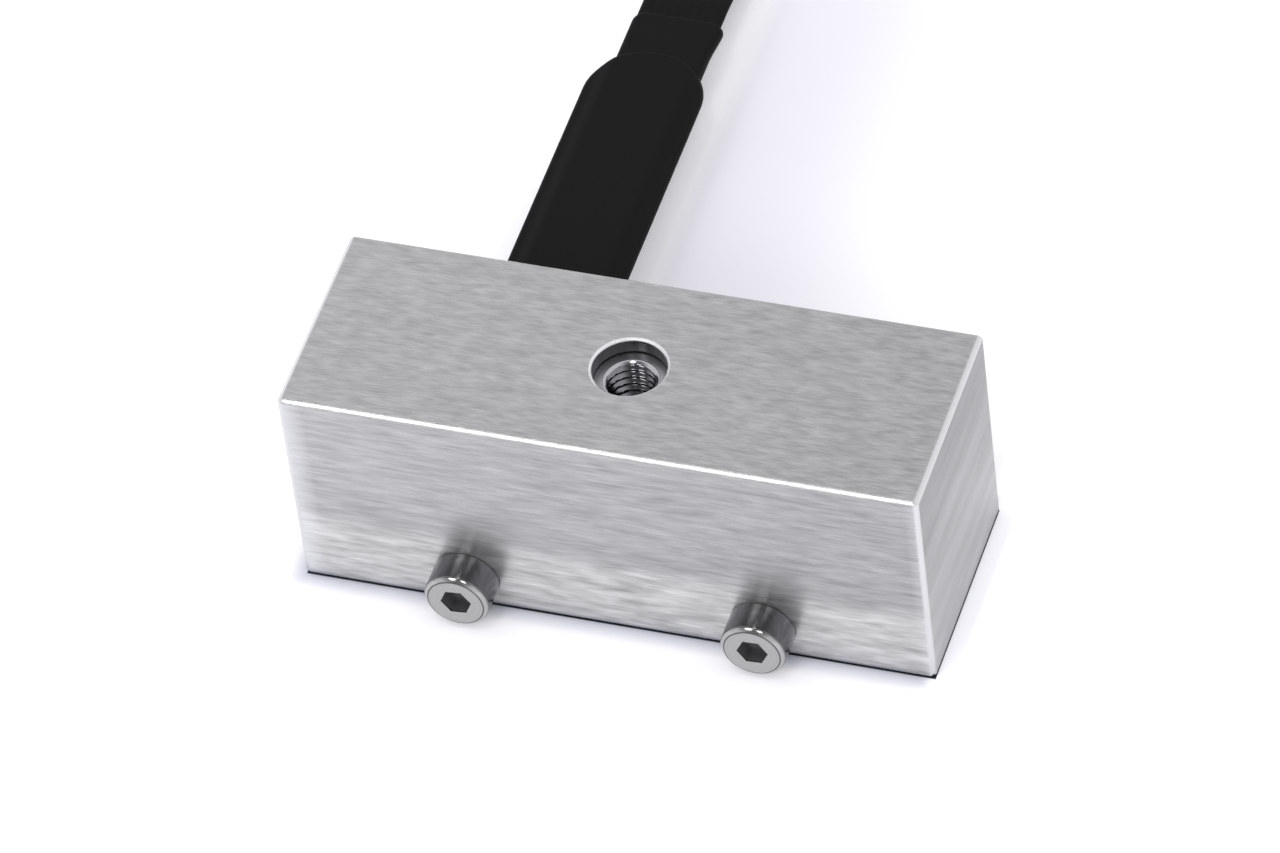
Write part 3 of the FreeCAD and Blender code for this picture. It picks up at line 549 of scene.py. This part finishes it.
lines = brush_lines(LINE_WIDTH, stretch=1.0, detail=LINE_DETAIL)
bands = brush_lines(BAND_WIDTH, stretch=BAND_STRETCH, detail=FINE_DETAIL)
low_down = add(tree, "MapRange", {0: at["Z"], 1: PALE_FROM, 2: PALE_TO}, interpolation_type="SMOOTHSTEP")
pale = add(tree, "Math", {0: low_down.outputs[0], 1: on_side}, operation="MULTIPLY").outputs[0]
share = add(tree, "MapRange", {0: on_end, 3: FACE_BANDS, 4: END_BANDS}).outputs[0]
share = add(tree, "Mix", {0: pale, 2: share, 3: PALE_BANDS}, data_type="FLOAT").outputs[0]
pattern = add(tree, "Mix", {0: share, 2: lines, 3: bands}, data_type="FLOAT").outputs[0]
print("brush lines", round(LINE_WIDTH / MM, 2), "mm wide, bands", round(BAND_WIDTH / MM, 2))

# %% [markdown]
# ## Brushed aluminium: its greys
#
# The lines give the eye a silvery grey that changes with every stroke. Each face mixes a dark and a light
# grey by the pattern. The tone falls a little from left to right, a painted light from the left. The ends
# are painted darker high up and paler towards the foot, a painted shade and a painted reflection of the
# table. The front's upright margins, the edges and the rim of the hole are painted paler, as painted
# highlights. The wall of the hole below its rim is painted darker, a painted shade.

# %% Brushed aluminium: its greys
TONES = {
    "face": ("#959596", "#C4C4C5"),
    "pale": ("#9B9B9B", "#E2E2E2"),
    "end_painted_shade": ("#7E7E7F", "#9E9E9F"),
    "end_painted_reflection": ("#AEAEAE", "#D0D0D0"),
}
# Painted highlights: the upright margins of the front and back, the edges and the rim of the hole are
# painted paler
PAINTED_MARGIN_HIGHLIGHT, PAINTED_EDGE_HIGHLIGHT, PAINTED_RIM_HIGHLIGHT = linear("#EEF0F4"), linear("#DADADC"), linear("#FAFAFC")
# Painted shade: the wall of the hole below its rim is painted darker
PAINTED_BORE_SHADE = linear("#747476")
PATTERN_LOW, PATTERN_HIGH = 0.28, 0.72
# Painted light: how far the tone falls from the left end to the right, and its share on the paler low
# bands
PAINTED_LIGHT_SLOPE, PALE_TONE = 0.1, 0.04
END_TOP, END_FOOT = 24 * MM, 2 * MM
LEFT_MARGIN, RIGHT_MARGIN = -32.2 * MM, 33.4 * MM
# How much painted highlight the left and the right margin get
LEFT_HIGHLIGHT, RIGHT_HIGHLIGHT = 0.6, 0.3

# Painted light: the tone falls from the left end to the right, as under a light from the left
slope = add(tree, "MapRange", {0: at["X"], 1: -HALF_LENGTH, 2: HALF_LENGTH, 3: PAINTED_LIGHT_SLOPE, 4: -PAINTED_LIGHT_SLOPE})
slope = add(tree, "Mix", {0: pale, 2: slope.outputs[0], 3: PALE_TONE}, data_type="FLOAT").outputs[0]
tone = add(tree, "MapRange", {0: pattern, 1: PATTERN_LOW, 2: PATTERN_HIGH}).outputs[0]
tone = add(tree, "Math", {0: tone, 1: slope}, operation="ADD", use_clamp=True).outputs[0]
greys = {}
for name, (dark, light) in TONES.items():
    grey = add(tree, "Mix", {0: tone, 6: linear(dark), 7: linear(light)}, data_type="RGBA")
    greys[name] = grey.outputs[2]
# Painted shade and a painted reflection of the table: the ends are darker high up and paler towards the
# foot
downward = add(tree, "MapRange", {0: at["Z"], 1: END_TOP, 2: END_FOOT}).outputs[0]
# Painted highlight on the upright margins of the front and back
left = add(tree, "MapRange", {0: at["X"], 1: LEFT_MARGIN, 2: -HALF_LENGTH, 4: LEFT_HIGHLIGHT}).outputs[0]
right = add(tree, "MapRange", {0: at["X"], 1: RIGHT_MARGIN, 2: HALF_LENGTH, 4: RIGHT_HIGHLIGHT}).outputs[0]
margin = add(tree, "Math", {0: left, 1: right}, operation="ADD").outputs[0]
margin = add(tree, "Math", {0: margin, 1: on_side}, operation="MULTIPLY").outputs[0]
ends = add(tree, "Mix", {0: downward, 6: greys["end_painted_shade"], 7: greys["end_painted_reflection"]}, data_type="RGBA")
colour = greys["face"]
# Over the face greys go the paler low bands, the painted highlights, the ends' painted shade and
# reflection and the bore's painted shade
for where, grey in [(pale, greys["pale"]), (margin, PAINTED_MARGIN_HIGHLIGHT), (on_end, ends.outputs[2]),
                    (on_edge, PAINTED_EDGE_HIGHLIGHT), (on_rim, PAINTED_RIM_HIGHLIGHT), (bore_shade, PAINTED_BORE_SHADE)]:
    colour = add(tree, "Mix", {0: where, 6: colour, 7: grey}, data_type="RGBA").outputs[2]
tree.links.new(colour, shader.inputs["Base Color"])
print(len(TONES), "pairs of greys on the cover")

# %% [markdown]
# ## Brushed aluminium: its gloss
#
# A brushed metal is a mirror in one direction and dull in the other: reflections smear across the lines.
# The lines' own relief could do that, if they were fine enough, but the shader does it by itself, once its
# tangent gives the direction across them. On a rounded edge the tangent follows the edge. The lower half
# of the front and back is a little duller, so that the screws' images in it fade within a few millimetres,
# and the rim of the hole is duller still, which with its painted highlight shows as a pale line.

# %% Brushed aluminium: its gloss
GLOSS_LOW, GLOSS_HIGH = 0.2, 0.29
DULL_FROM, DULL_TO, DULL_GLOSS = 18.0 * MM, 11.0 * MM, 0.33
RIM_GLOSS = 0.5
LINE_DEPTH, LINE_STRENGTH = 0.01 * MM, 0.12

shine = add(tree, "MapRange", {0: lines, 1: DRIFT_LOW, 2: DRIFT_HIGH, 3: GLOSS_LOW, 4: GLOSS_HIGH})
lower = add(tree, "MapRange", {0: at["Z"], 1: DULL_FROM, 2: DULL_TO}, interpolation_type="SMOOTHSTEP")
dull = add(tree, "Math", {0: lower.outputs[0], 1: on_side}, operation="MULTIPLY").outputs[0]
gloss = add(tree, "Mix", {0: dull, 2: shine.outputs[0], 3: DULL_GLOSS}, data_type="FLOAT").outputs[0]
gloss = add(tree, "Mix", {0: on_rim, 2: gloss, 3: RIM_GLOSS}, data_type="FLOAT").outputs[0]
relief = add(tree, "Bump", {"Height": lines, "Strength": LINE_STRENGTH, "Distance": LINE_DEPTH,
                            "Normal": normal}).outputs[0]
across = add(tree, "Mix", {0: on_end, 4: (0, 1, 1), 5: (0, 0, 1)}, data_type="VECTOR").outputs[1]
# On an edge, only the axis that no face there points along keeps its full length
turned_away = add(tree, "VectorMath", {0: (1, 1, 1), 1: facing}, operation="SUBTRACT").outputs[0]
squared = add(tree, "VectorMath", {0: turned_away, 1: turned_away}, operation="MULTIPLY").outputs[0]
along_edge = add(tree, "VectorMath", {0: squared, 1: squared}, operation="MULTIPLY").outputs[0]
smear = add(tree, "Mix", {0: on_edge, 4: across, 5: along_edge}, data_type="VECTOR").outputs[1]
tree.links.new(gloss, shader.inputs["Roughness"])
tree.links.new(relief, shader.inputs["Normal"])
tree.links.new(smear, shader.inputs["Tangent"])
dress(brushed_aluminium, "cover")

# %% [markdown]
# ## Steel of the spring element
#
# The spring element is stainless steel. Its faces were ground, which gives the eye a soft grey sheen on
# the ledge below the hole; the wheel's marks are drawn coarser than they are. The thread in its middle was
# cut, and its flanks are smoother, so they glint. They are painted darker, a painted shade down the bore,
# and the countersink above them is painted paler, a painted highlight. Two materials could do it, but the
# distance from the axis and the height tell the faces from the flanks in one.

# %% Steel of the spring element
GRINDING = 0.3 * MM
BORE_RADIUS, BORE_LEVEL = 2.99 * MM, 24.74 * MM
# Painted highlight on the countersink, painted shade on the thread's flanks
GROUND_FACE, PAINTED_SINK_HIGHLIGHT, SHADED_CUT_FLANK = linear("#A2A2A6"), linear("#B4B4B8"), linear("#808084")
GROUND_GLOSS, CUT_GLOSS = (0.28, 0.38), (0.08, 0.18)

stainless_steel, tree, shader = new_finish("ground_stainless", metallic=1.0)
place = add(tree, "TexCoord").outputs["Object"]
at = add(tree, "SeparateXYZ", {0: place}).outputs
level = add(tree, "CombineXYZ", {0: at["X"], 1: at["Y"]}).outputs[0]
radius = add(tree, "VectorMath", {0: level}, operation="LENGTH").outputs["Value"]
within = add(tree, "Math", {0: radius, 1: BORE_RADIUS}, operation="LESS_THAN").outputs[0]
below = add(tree, "Math", {0: at["Z"], 1: BORE_LEVEL}, operation="LESS_THAN").outputs[0]
cut = add(tree, "Math", {0: within, 1: below}, operation="MULTIPLY").outputs[0]
faces = add(tree, "Mix", {0: within, 6: GROUND_FACE, 7: PAINTED_SINK_HIGHLIGHT}, data_type="RGBA").outputs[2]
steel = add(tree, "Mix", {0: cut, 6: faces, 7: SHADED_CUT_FLANK}, data_type="RGBA").outputs[2]
ground = add(tree, "TexNoise", {"Vector": place, "Scale": 1 / GRINDING, "Detail": FINE_DETAIL}).outputs[0]
ground_gloss = add(tree, "MapRange", {0: ground, 3: GROUND_GLOSS[0], 4: GROUND_GLOSS[1]}).outputs[0]
cut_gloss = add(tree, "MapRange", {0: ground, 3: CUT_GLOSS[0], 4: CUT_GLOSS[1]}).outputs[0]
gloss = add(tree, "Mix", {0: within, 2: ground_gloss, 3: cut_gloss}, data_type="FLOAT").outputs[0]
tree.links.new(steel, shader.inputs["Base Color"])
tree.links.new(gloss, shader.inputs["Roughness"])
dress(stainless_steel, "sensing_beam")

# %% [markdown]
# ## Steel of the screws
#
# The screws are stainless too, turned and tumbled: a darker, sharper mirror than the aluminium. Faint
# rings from the lathe run round the axis, drawn wider than the tool left them so that they show. A thin
# dark ring is painted where the flat ring meets the rounded rim, a painted shade. The sides of the head
# and the outer edge of its rim are painted darker, a painted shade. The socket is dull and painted
# darker, a painted shade; little light gets in and out of it again.

# %% Steel of the screws
RING_WIDTH = 0.12 * MM
RING_GREYS = linear("#9C9C9C"), linear("#BEBEBE")
RING_GLOSS = (0.1, 0.22)
# Painted shade: the head's sides and the outer edge of its rim are painted darker
SIDE_RADIUS, SHADED_SIDE_GREY = 3.5 * MM, linear("#78787B")
# Painted shade: a thin dark ring on the rim round the flat ring
SHADE_RING_RADIUS, SHADE_RING_HALF, SHADE_RING_GREY = 3.08 * MM, 0.07 * MM, linear("#5C5C5E")
SHADE_RING_LEVEL = 3.0 * MM
# Painted shade: the socket is painted darker than the ring
SOCKET_RADIUS, SOCKET_LEVEL = 1.76 * MM, 3.72 * MM
SOCKET_SHADE_GREY, SOCKET_GLOSS = linear("#909092"), 0.6

screw_steel, tree, shader = new_finish("turned_stainless", metallic=1.0)
at = add(tree, "SeparateXYZ", {0: add(tree, "TexCoord").outputs["Object"]}).outputs
level = add(tree, "CombineXYZ", {0: at["X"], 1: at["Y"]}).outputs[0]
radius = add(tree, "VectorMath", {0: level}, operation="LENGTH").outputs["Value"]
turns = add(tree, "Math", {0: radius, 1: 1 / RING_WIDTH}, operation="MULTIPLY").outputs[0]
turning = add(tree, "TexNoise", {"W": turns, "Scale": 1.0}, noise_dimensions="1D").outputs[0]
in_socket = add(tree, "Math", {0: radius, 1: SOCKET_RADIUS}, operation="LESS_THAN").outputs[0]
sunk = add(tree, "Math", {0: at["Z"], 1: SOCKET_LEVEL}, operation="LESS_THAN").outputs[0]
socket = add(tree, "Math", {0: in_socket, 1: sunk}, operation="MULTIPLY").outputs[0]
shaded_barrel = add(tree, "Math", {0: radius, 1: SIDE_RADIUS}, operation="GREATER_THAN").outputs[0]
ring = add(tree, "Math", {0: radius, 1: SHADE_RING_RADIUS, 2: SHADE_RING_HALF}, operation="COMPARE").outputs[0]
on_head = add(tree, "Math", {0: at["Z"], 1: SHADE_RING_LEVEL}, operation="GREATER_THAN").outputs[0]
shade_ring = add(tree, "Math", {0: ring, 1: on_head}, operation="MULTIPLY").outputs[0]
steel = add(tree, "Mix", {0: turning, 6: RING_GREYS[0], 7: RING_GREYS[1]}, data_type="RGBA").outputs[2]
# Painted shade on the sides, in a thin ring on the rim and in the socket
for where, grey in [(shaded_barrel, SHADED_SIDE_GREY), (shade_ring, SHADE_RING_GREY), (socket, SOCKET_SHADE_GREY)]:
    steel = add(tree, "Mix", {0: where, 6: steel, 7: grey}, data_type="RGBA").outputs[2]
gloss = add(tree, "MapRange", {0: turning, 3: RING_GLOSS[0], 4: RING_GLOSS[1]}).outputs[0]
gloss = add(tree, "Mix", {0: socket, 2: gloss, 3: SOCKET_GLOSS}, data_type="FLOAT").outputs[0]
tree.links.new(steel, shader.inputs["Base Color"])
tree.links.new(gloss, shader.inputs["Roughness"])
dress(screw_steel, *[name for name in nodes if "_screw_" in name])

# %% [markdown]
# ## The front screws
#
# Two M4 socket-head cap screws hold the cover on its base. The head is turned: straight sides, a rim that
# rounds over into a low lip, and a flat ring round the hexagon. A boolean cut could sink the hexagon into
# a turned blank, but rings of points on a lathe profile keep the mesh even: they run from the tip of the
# shank to the flat ring, and at the socket they change from round to six-sided. Each hexagon stopped where
# its screw came tight.

# %% The front screws
RING_POINTS = 96
HEX_ACROSS = 3.0
HEX_TURN = {"left": 6, "right": 3}
HEAD_HEIGHT = 4.0
SCREW_PROFILE = [
    # Shank and seat
    (1.6, -12.0), (2.0, -11.6), (2.0, 0.0), (3.3, 0.0), (3.46, 0.06), (3.57, 0.18), (3.6, 0.32),
    # Side, rounded rim and lip
    (3.6, 3.5), (3.58, 3.57), (3.52, 3.65), (3.38, 3.79), (3.2, 3.93), (3.1, 3.99), (3.0, HEAD_HEIGHT),
    # Flat ring, to the mouth of the socket
    (2.9, 3.95), (1.86, 3.95), (1.8, 3.94),
]
SOCKET_LIP, SOCKET_FLOOR = 3.9, 2.0
SCREW_CREASE = 25


def screw_rings():
    """The screw's rings with its axis along Z and its head's seat at 0, in metres."""
    angles = np.arange(RING_POINTS) * 2 * np.pi / RING_POINTS
    round_ring = np.column_stack([np.cos(angles), np.sin(angles)])
    from_flat = angles % (np.pi / 3) - np.pi / 6
    hexagon = HEX_ACROSS / 2 / np.cos(from_flat)
    rings = []
    for radius, height in SCREW_PROFILE:
        rings.append(np.column_stack([round_ring * radius, np.full(RING_POINTS, height)]))
    for height in (SOCKET_LIP, SOCKET_FLOOR):
        rings.append(np.column_stack([round_ring * hexagon[:, None], np.full(RING_POINTS, height)]))
    return np.array(rings) * MM


screw_mesh = skin("cover_screw", screw_rings(), crease=SCREW_CREASE)
for side in ("left", "right"):
    low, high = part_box(f"cover_screw_{side}")
    seat = Vector(((low.x + high.x) / 2, low.y + HEAD_HEIGHT * MM, (low.z + high.z) / 2))
    forward = Matrix.Rotation(math.radians(90), 4, "X")
    turn = Matrix.Rotation(math.radians(HEX_TURN[side]), 4, "Z")
    new_piece(f"front_screw_{side}", screw_mesh.copy(), screw_steel, "screw_steel", f"cover_screw_{side}",
              placed=Matrix.Translation(seat) @ forward @ turn)

# %% [markdown]
# ## The load thread
#
# The bore below the access hole has an M6 thread, which shows as bright and dark bands. A thread could
# be a screw modifier on a profile, but here its radius is a plain function of the turn and the height,
# and a flat countersink at the top cuts it off. It is a thin shell inside the solid's plain bore.

# %% The load thread
PITCH = 1.0
ROOT_RADIUS, CREST_RADIUS, SHELL_RADIUS = 2.94, 2.5, 2.98
FLANK_TOP, FLANK_FALL = 1.3, 2.9
THREAD_LOW, THREAD_HIGH = 13.1, 24.97
SINK_RADIUS, SINK_RISE = 2.88, 0.58
TURN_STEPS = 72
STEPS_PER_PITCH = 16
SHELL_RINGS = 4
THREAD_CREASE = 35

heights = np.append(np.arange(THREAD_LOW, THREAD_HIGH, PITCH / STEPS_PER_PITCH), THREAD_HIGH)
angles = np.arange(TURN_STEPS) * 2 * np.pi / TURN_STEPS


def thread_radius(height):
    """The thread's inside radius at each angle of one level."""
    phase = (height / PITCH - angles / (2 * np.pi)) % 1
    rise = np.clip(FLANK_TOP - np.abs(phase - 0.5) * FLANK_FALL, 0, 1)
    inner = ROOT_RADIUS + (CREST_RADIUS - ROOT_RADIUS) * rise
    return np.maximum(inner, SINK_RADIUS - (THREAD_HIGH - height) / SINK_RISE)


levels = [(thread_radius(height), height) for height in heights]
levels += [(SHELL_RADIUS, height) for height in heights[::-len(heights) // SHELL_RINGS]]
rings = []
for radius, height in levels:
    rings.append(np.column_stack([radius * np.cos(angles), radius * np.sin(angles),
                                  np.full_like(angles, height)]))
thread_mesh = skin("load_thread", np.array(rings) * MM, loop=True, crease=THREAD_CREASE)
new_piece("load_thread", thread_mesh, stainless_steel, "stainless_steel")

# %% [markdown]
# ## Inner pieces
#
# What the cover hides still has its own finish: the milled base, the gauges, the board, its spacers and
# the rubber seal. Each could have its tool marks or its weave drawn in full, but they show only when the
# cell is taken apart, so a drift of colour and gloss, a little coarser than each one's grain, is enough.

# %% Inner pieces
# Milled aluminium: a pale metal with soft, slightly uneven reflections
machined_aluminium = grained("milled_aluminium", "#B4B4B6", "#CCCCCE", 0.6 * MM, (0.3, 0.45), metallic=1.0)
dress(machined_aluminium, "base_block")
# Polyimide film over the gauges' metal: a clear amber with a smooth gloss
gauge_foil = grained("polyimide_foil", "#A86A24", "#C68A3C", 0.5 * MM, (0.28, 0.42), ior=1.7)
dress(gauge_foil, *[name for name in nodes if name.startswith("gauge_")])
# Glass cloth in resin under a green lacquer: a satin green with a faint weave
board_laminate = grained("glass_laminate", "#1A5030", "#24643C", 0.4 * MM, (0.34, 0.48))
dress(board_laminate, "terminal_board")
# Turned nylon rod: a dull, milky white
spacer_nylon = grained("turned_nylon", "#E0DCD0", "#EAE7E0", 0.8 * MM, (0.45, 0.6), ior=PLASTIC_IOR)
dress(spacer_nylon, "board_spacer_left", "board_spacer_right")
# Moulded silicone: a matt dark grey that hardly reflects
seal_rubber = grained("moulded_silicone", "#262627", "#2E2E2F", 0.4 * MM, (0.62, 0.78), ior=1.41)
dress(seal_rubber, "cable_seal")

# %% [markdown]
# ## The room
#
# The photograph is white all round, and the room gives the soft light. The dark sides of the screw heads
# and the dark wall of the hole show that the room was dark somewhere above the front, so metal mirrors a
# dark part there and a bright room elsewhere. A large dark card could stand there instead, but it would
# also take light from the table. The eye itself sees plain white.

# %% The room
ROOM_WHITE = linear("#FDFDFF")
ROOM_LEVEL = 0.95
DARK_ROOM, BRIGHT_ROOM = 0.18, 1.0
DARK_AZIMUTH, DARK_ELEVATION = -6, 48
DARK_START, DARK_FULL = 0.7, 0.9
HALF_BOUNCE = 0.5

room = bpy.data.worlds.new("room")
scene.world = room
room.use_nodes = True
tree = room.node_tree
background = tree.nodes["Background"]
background.inputs["Color"].default_value = ROOM_WHITE
ray = add(tree, "TexCoord").outputs["Generated"]
dark_way = direction(DARK_AZIMUTH, DARK_ELEVATION)
nearness = add(tree, "VectorMath", {0: ray, 1: dark_way}, operation="DOT_PRODUCT").outputs["Value"]
mirrored = add(tree, "MapRange", {0: nearness, 1: DARK_START, 2: DARK_FULL, 3: BRIGHT_ROOM, 4: DARK_ROOM})
rays = add(tree, "LightPath").outputs
# A mirror image has met no dull surface on its way, so it has a diffuse depth of 0
direct = add(tree, "Math", {0: rays["Diffuse Depth"], 1: HALF_BOUNCE}, operation="LESS_THAN").outputs[0]
mirror = add(tree, "Math", {0: rays["Is Glossy Ray"], 1: direct}, operation="MULTIPLY").outputs[0]
lit = add(tree, "Mix", {0: mirror, 2: ROOM_LEVEL, 3: mirrored.outputs[0]}, data_type="FLOAT").outputs[0]
strength = add(tree, "Mix", {0: rays["Is Camera Ray"], 2: lit, 3: 1.0}, data_type="FLOAT").outputs[0]
tree.links.new(strength, background.inputs["Strength"])
print("the room is darkest towards", [round(value, 2) for value in dark_way])

# %% [markdown]
# ## The table
#
# The table is matt white and loses itself in the white round it, with weak, cool, soft shadows. White is
# reached by a little light of its own, for the rays that are seen, and not by more light on the object.
# That glow would also wash out the shade where the block and the lead are close to the table, so the
# shade is drawn with it: a dark seam under the block's edges, a narrow contact shade round its foot,
# which the right side hardly has, and a broad lavender one beside the lead. Distances from the block's
# footprint say where.

# %% The table
TABLE_SIZE = 4.0
TABLE_LEVEL = -0.03 * MM
TABLE_WHITE, TABLE_ROUGHNESS = linear("#F2F2F4"), 0.9
GLOW_WHITE, TABLE_GLOW = linear("#F8F7FD"), 0.25
RIGHT_SOFT, RIGHT_CLEAR, RIGHT_FILL = 2 * MM, 0.7, 0.2
SEAM_GREY = linear("#2A2E36")
SIDE_SEAM, END_SEAM = (-0.22 * MM, -0.06 * MM), (-0.08 * MM, 0.02 * MM)
CONTACT, CONTACT_GREY = 2.6 * MM, linear("#DCDEE9")
LEAD_GREY, LEAD_DIMMING = linear("#DBDAE1"), 0.35
# Where the lead's shade rises or falls, as an axis, a start and an end in mm
LEAD_SHADE = [("Y", 12.5, 16.5), ("Y", 120, 80), ("X", -13.5, -9.5), ("X", 26, -4)]

table_white, tree, shader = new_finish("white_table", roughness=TABLE_ROUGHNESS, specular_ior_level=0.0,
                                       emission_color=GLOW_WHITE)
place = add(tree, "TexCoord").outputs["Object"]
at = add(tree, "SeparateXYZ", {0: place}).outputs
apart = add(tree, "VectorMath", {0: place}, operation="ABSOLUTE").outputs[0]
# The height is taken far below 0, so that only the distances along X and Y count
footprint = (HALF_LENGTH, HALF_DEPTH, TABLE_SIZE)
past = add(tree, "VectorMath", {0: apart, 1: footprint}, operation="SUBTRACT").outputs[0]
past_block = add(tree, "SeparateXYZ", {0: past}).outputs
beyond = add(tree, "VectorMath", {0: past, 1: (0, 0, 0)}, operation="MAXIMUM").outputs[0]
distance = add(tree, "VectorMath", {0: beyond}, operation="LENGTH").outputs["Value"]
ramps = []
for value, start, end in [
    (past_block["Y"], *SIDE_SEAM),
    (past_block["X"], *END_SEAM),
    (distance, 0, CONTACT),
    (at["X"], HALF_LENGTH - RIGHT_SOFT, HALF_LENGTH),
]:
    ramp = add(tree, "MapRange", {0: value, 1: start, 2: end}, interpolation_type="SMOOTHSTEP")
    ramps.append(ramp.outputs[0])
past_side, past_end, clear, to_right = ramps
seam = add(tree, "Math", {0: past_side, 1: past_end}, operation="MAXIMUM").outputs[0]
right_clear = add(tree, "Math", {0: to_right, 1: RIGHT_CLEAR}, operation="MULTIPLY").outputs[0]
soft = add(tree, "Math", {0: clear, 1: right_clear}, operation="MAXIMUM").outputs[0]
lead_shade = 1.0
for axis, start, end in LEAD_SHADE:
    lead_shade = add(tree, "MapRange", {0: at[axis], 1: start * MM, 2: end * MM, 4: lead_shade},
                     interpolation_type="SMOOTHSTEP").outputs[0]
white = add(tree, "Mix", {0: lead_shade, 6: TABLE_WHITE, 7: LEAD_GREY}, data_type="RGBA").outputs[2]
white = add(tree, "Mix", {0: soft, 6: CONTACT_GREY, 7: white}, data_type="RGBA").outputs[2]
white = add(tree, "Mix", {0: seam, 6: SEAM_GREY, 7: white}, data_type="RGBA").outputs[2]
rays = add(tree, "LightPath").outputs
seen = 0.0
for kind in ("Is Camera Ray", "Is Glossy Ray", "Is Transmission Ray"):
    seen = add(tree, "Math", {0: rays[kind], 1: seen}, operation="MAXIMUM").outputs[0]
# Painted light: the camera sees extra glow right of the block, which clears its shade there
fill = add(tree, "Math", {0: to_right, 1: RIGHT_FILL}, operation="MULTIPLY").outputs[0]
fill = add(tree, "Math", {0: fill, 1: rays["Is Camera Ray"]}, operation="MULTIPLY").outputs[0]
glow = add(tree, "Math", {0: seen, 1: TABLE_GLOW, 2: fill}, operation="MULTIPLY_ADD").outputs[0]
undimmed = add(tree, "MapRange", {0: lead_shade, 3: 1.0, 4: 1 - LEAD_DIMMING}).outputs[0]
for part in (soft, seam, undimmed):
    glow = add(tree, "Math", {0: glow, 1: part}, operation="MULTIPLY").outputs[0]
tree.links.new(white, shader.inputs["Base Color"])
tree.links.new(glow, shader.inputs["Emission Strength"])

half = TABLE_SIZE / 2
corners = [(x, y, TABLE_LEVEL) for x, y in [(-half, -half), (half, -half), (half, half), (-half, half)]]
table_mesh = bpy.data.meshes.new("table")
table_mesh.from_pydata(corners, [], [(0, 1, 2, 3)])
table_mesh.materials.append(table_white)
table = bpy.data.objects.new("table", table_mesh)
scene.collection.objects.link(table)
table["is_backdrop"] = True
print("table", TABLE_SIZE, "m across")

# %% [markdown]
# ## Lamps
#
# Glints on the screws and the bright line along the block's front edge show two lamps in front of the
# block, one to the left and one to the right of the middle, and a weaker one high up. Area lamps would
# need a size and a distance, and only their angles show, so each is a sun with a wide disc.

# %% Lamps
LAMP_WHITE = linear("#FFFEFC")[:3]
# Name, azimuth and elevation in degrees, level, and the disc's width in degrees
LAMPS = [
    ("left_lamp", -24, 39, 0.38, 18),
    ("right_lamp", 14, 38, 0.22, 12),
    ("high_lamp", -10, 72, 0.2, 9),
]

for name, azimuth, elevation, level, width in LAMPS:
    lamp = bpy.data.lights.new(name, "SUN")
    lamp.energy = level
    lamp.angle = math.radians(width)
    lamp.color = LAMP_WHITE
    holder = bpy.data.objects.new(name, lamp)
    holder.rotation_euler = direction(azimuth, elevation).to_track_quat("Z", "Y").to_euler()
    scene.collection.objects.link(holder)
print(len(LAMPS), "lamps")

# %% [markdown]
# ## Size and finish
#
# The dressed part has to keep the real size, so the box of what is now shown is printed.

# %% Size and finish
low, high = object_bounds()
print("visual box in mm:", [round(side / MM, 1) for side in high - low])
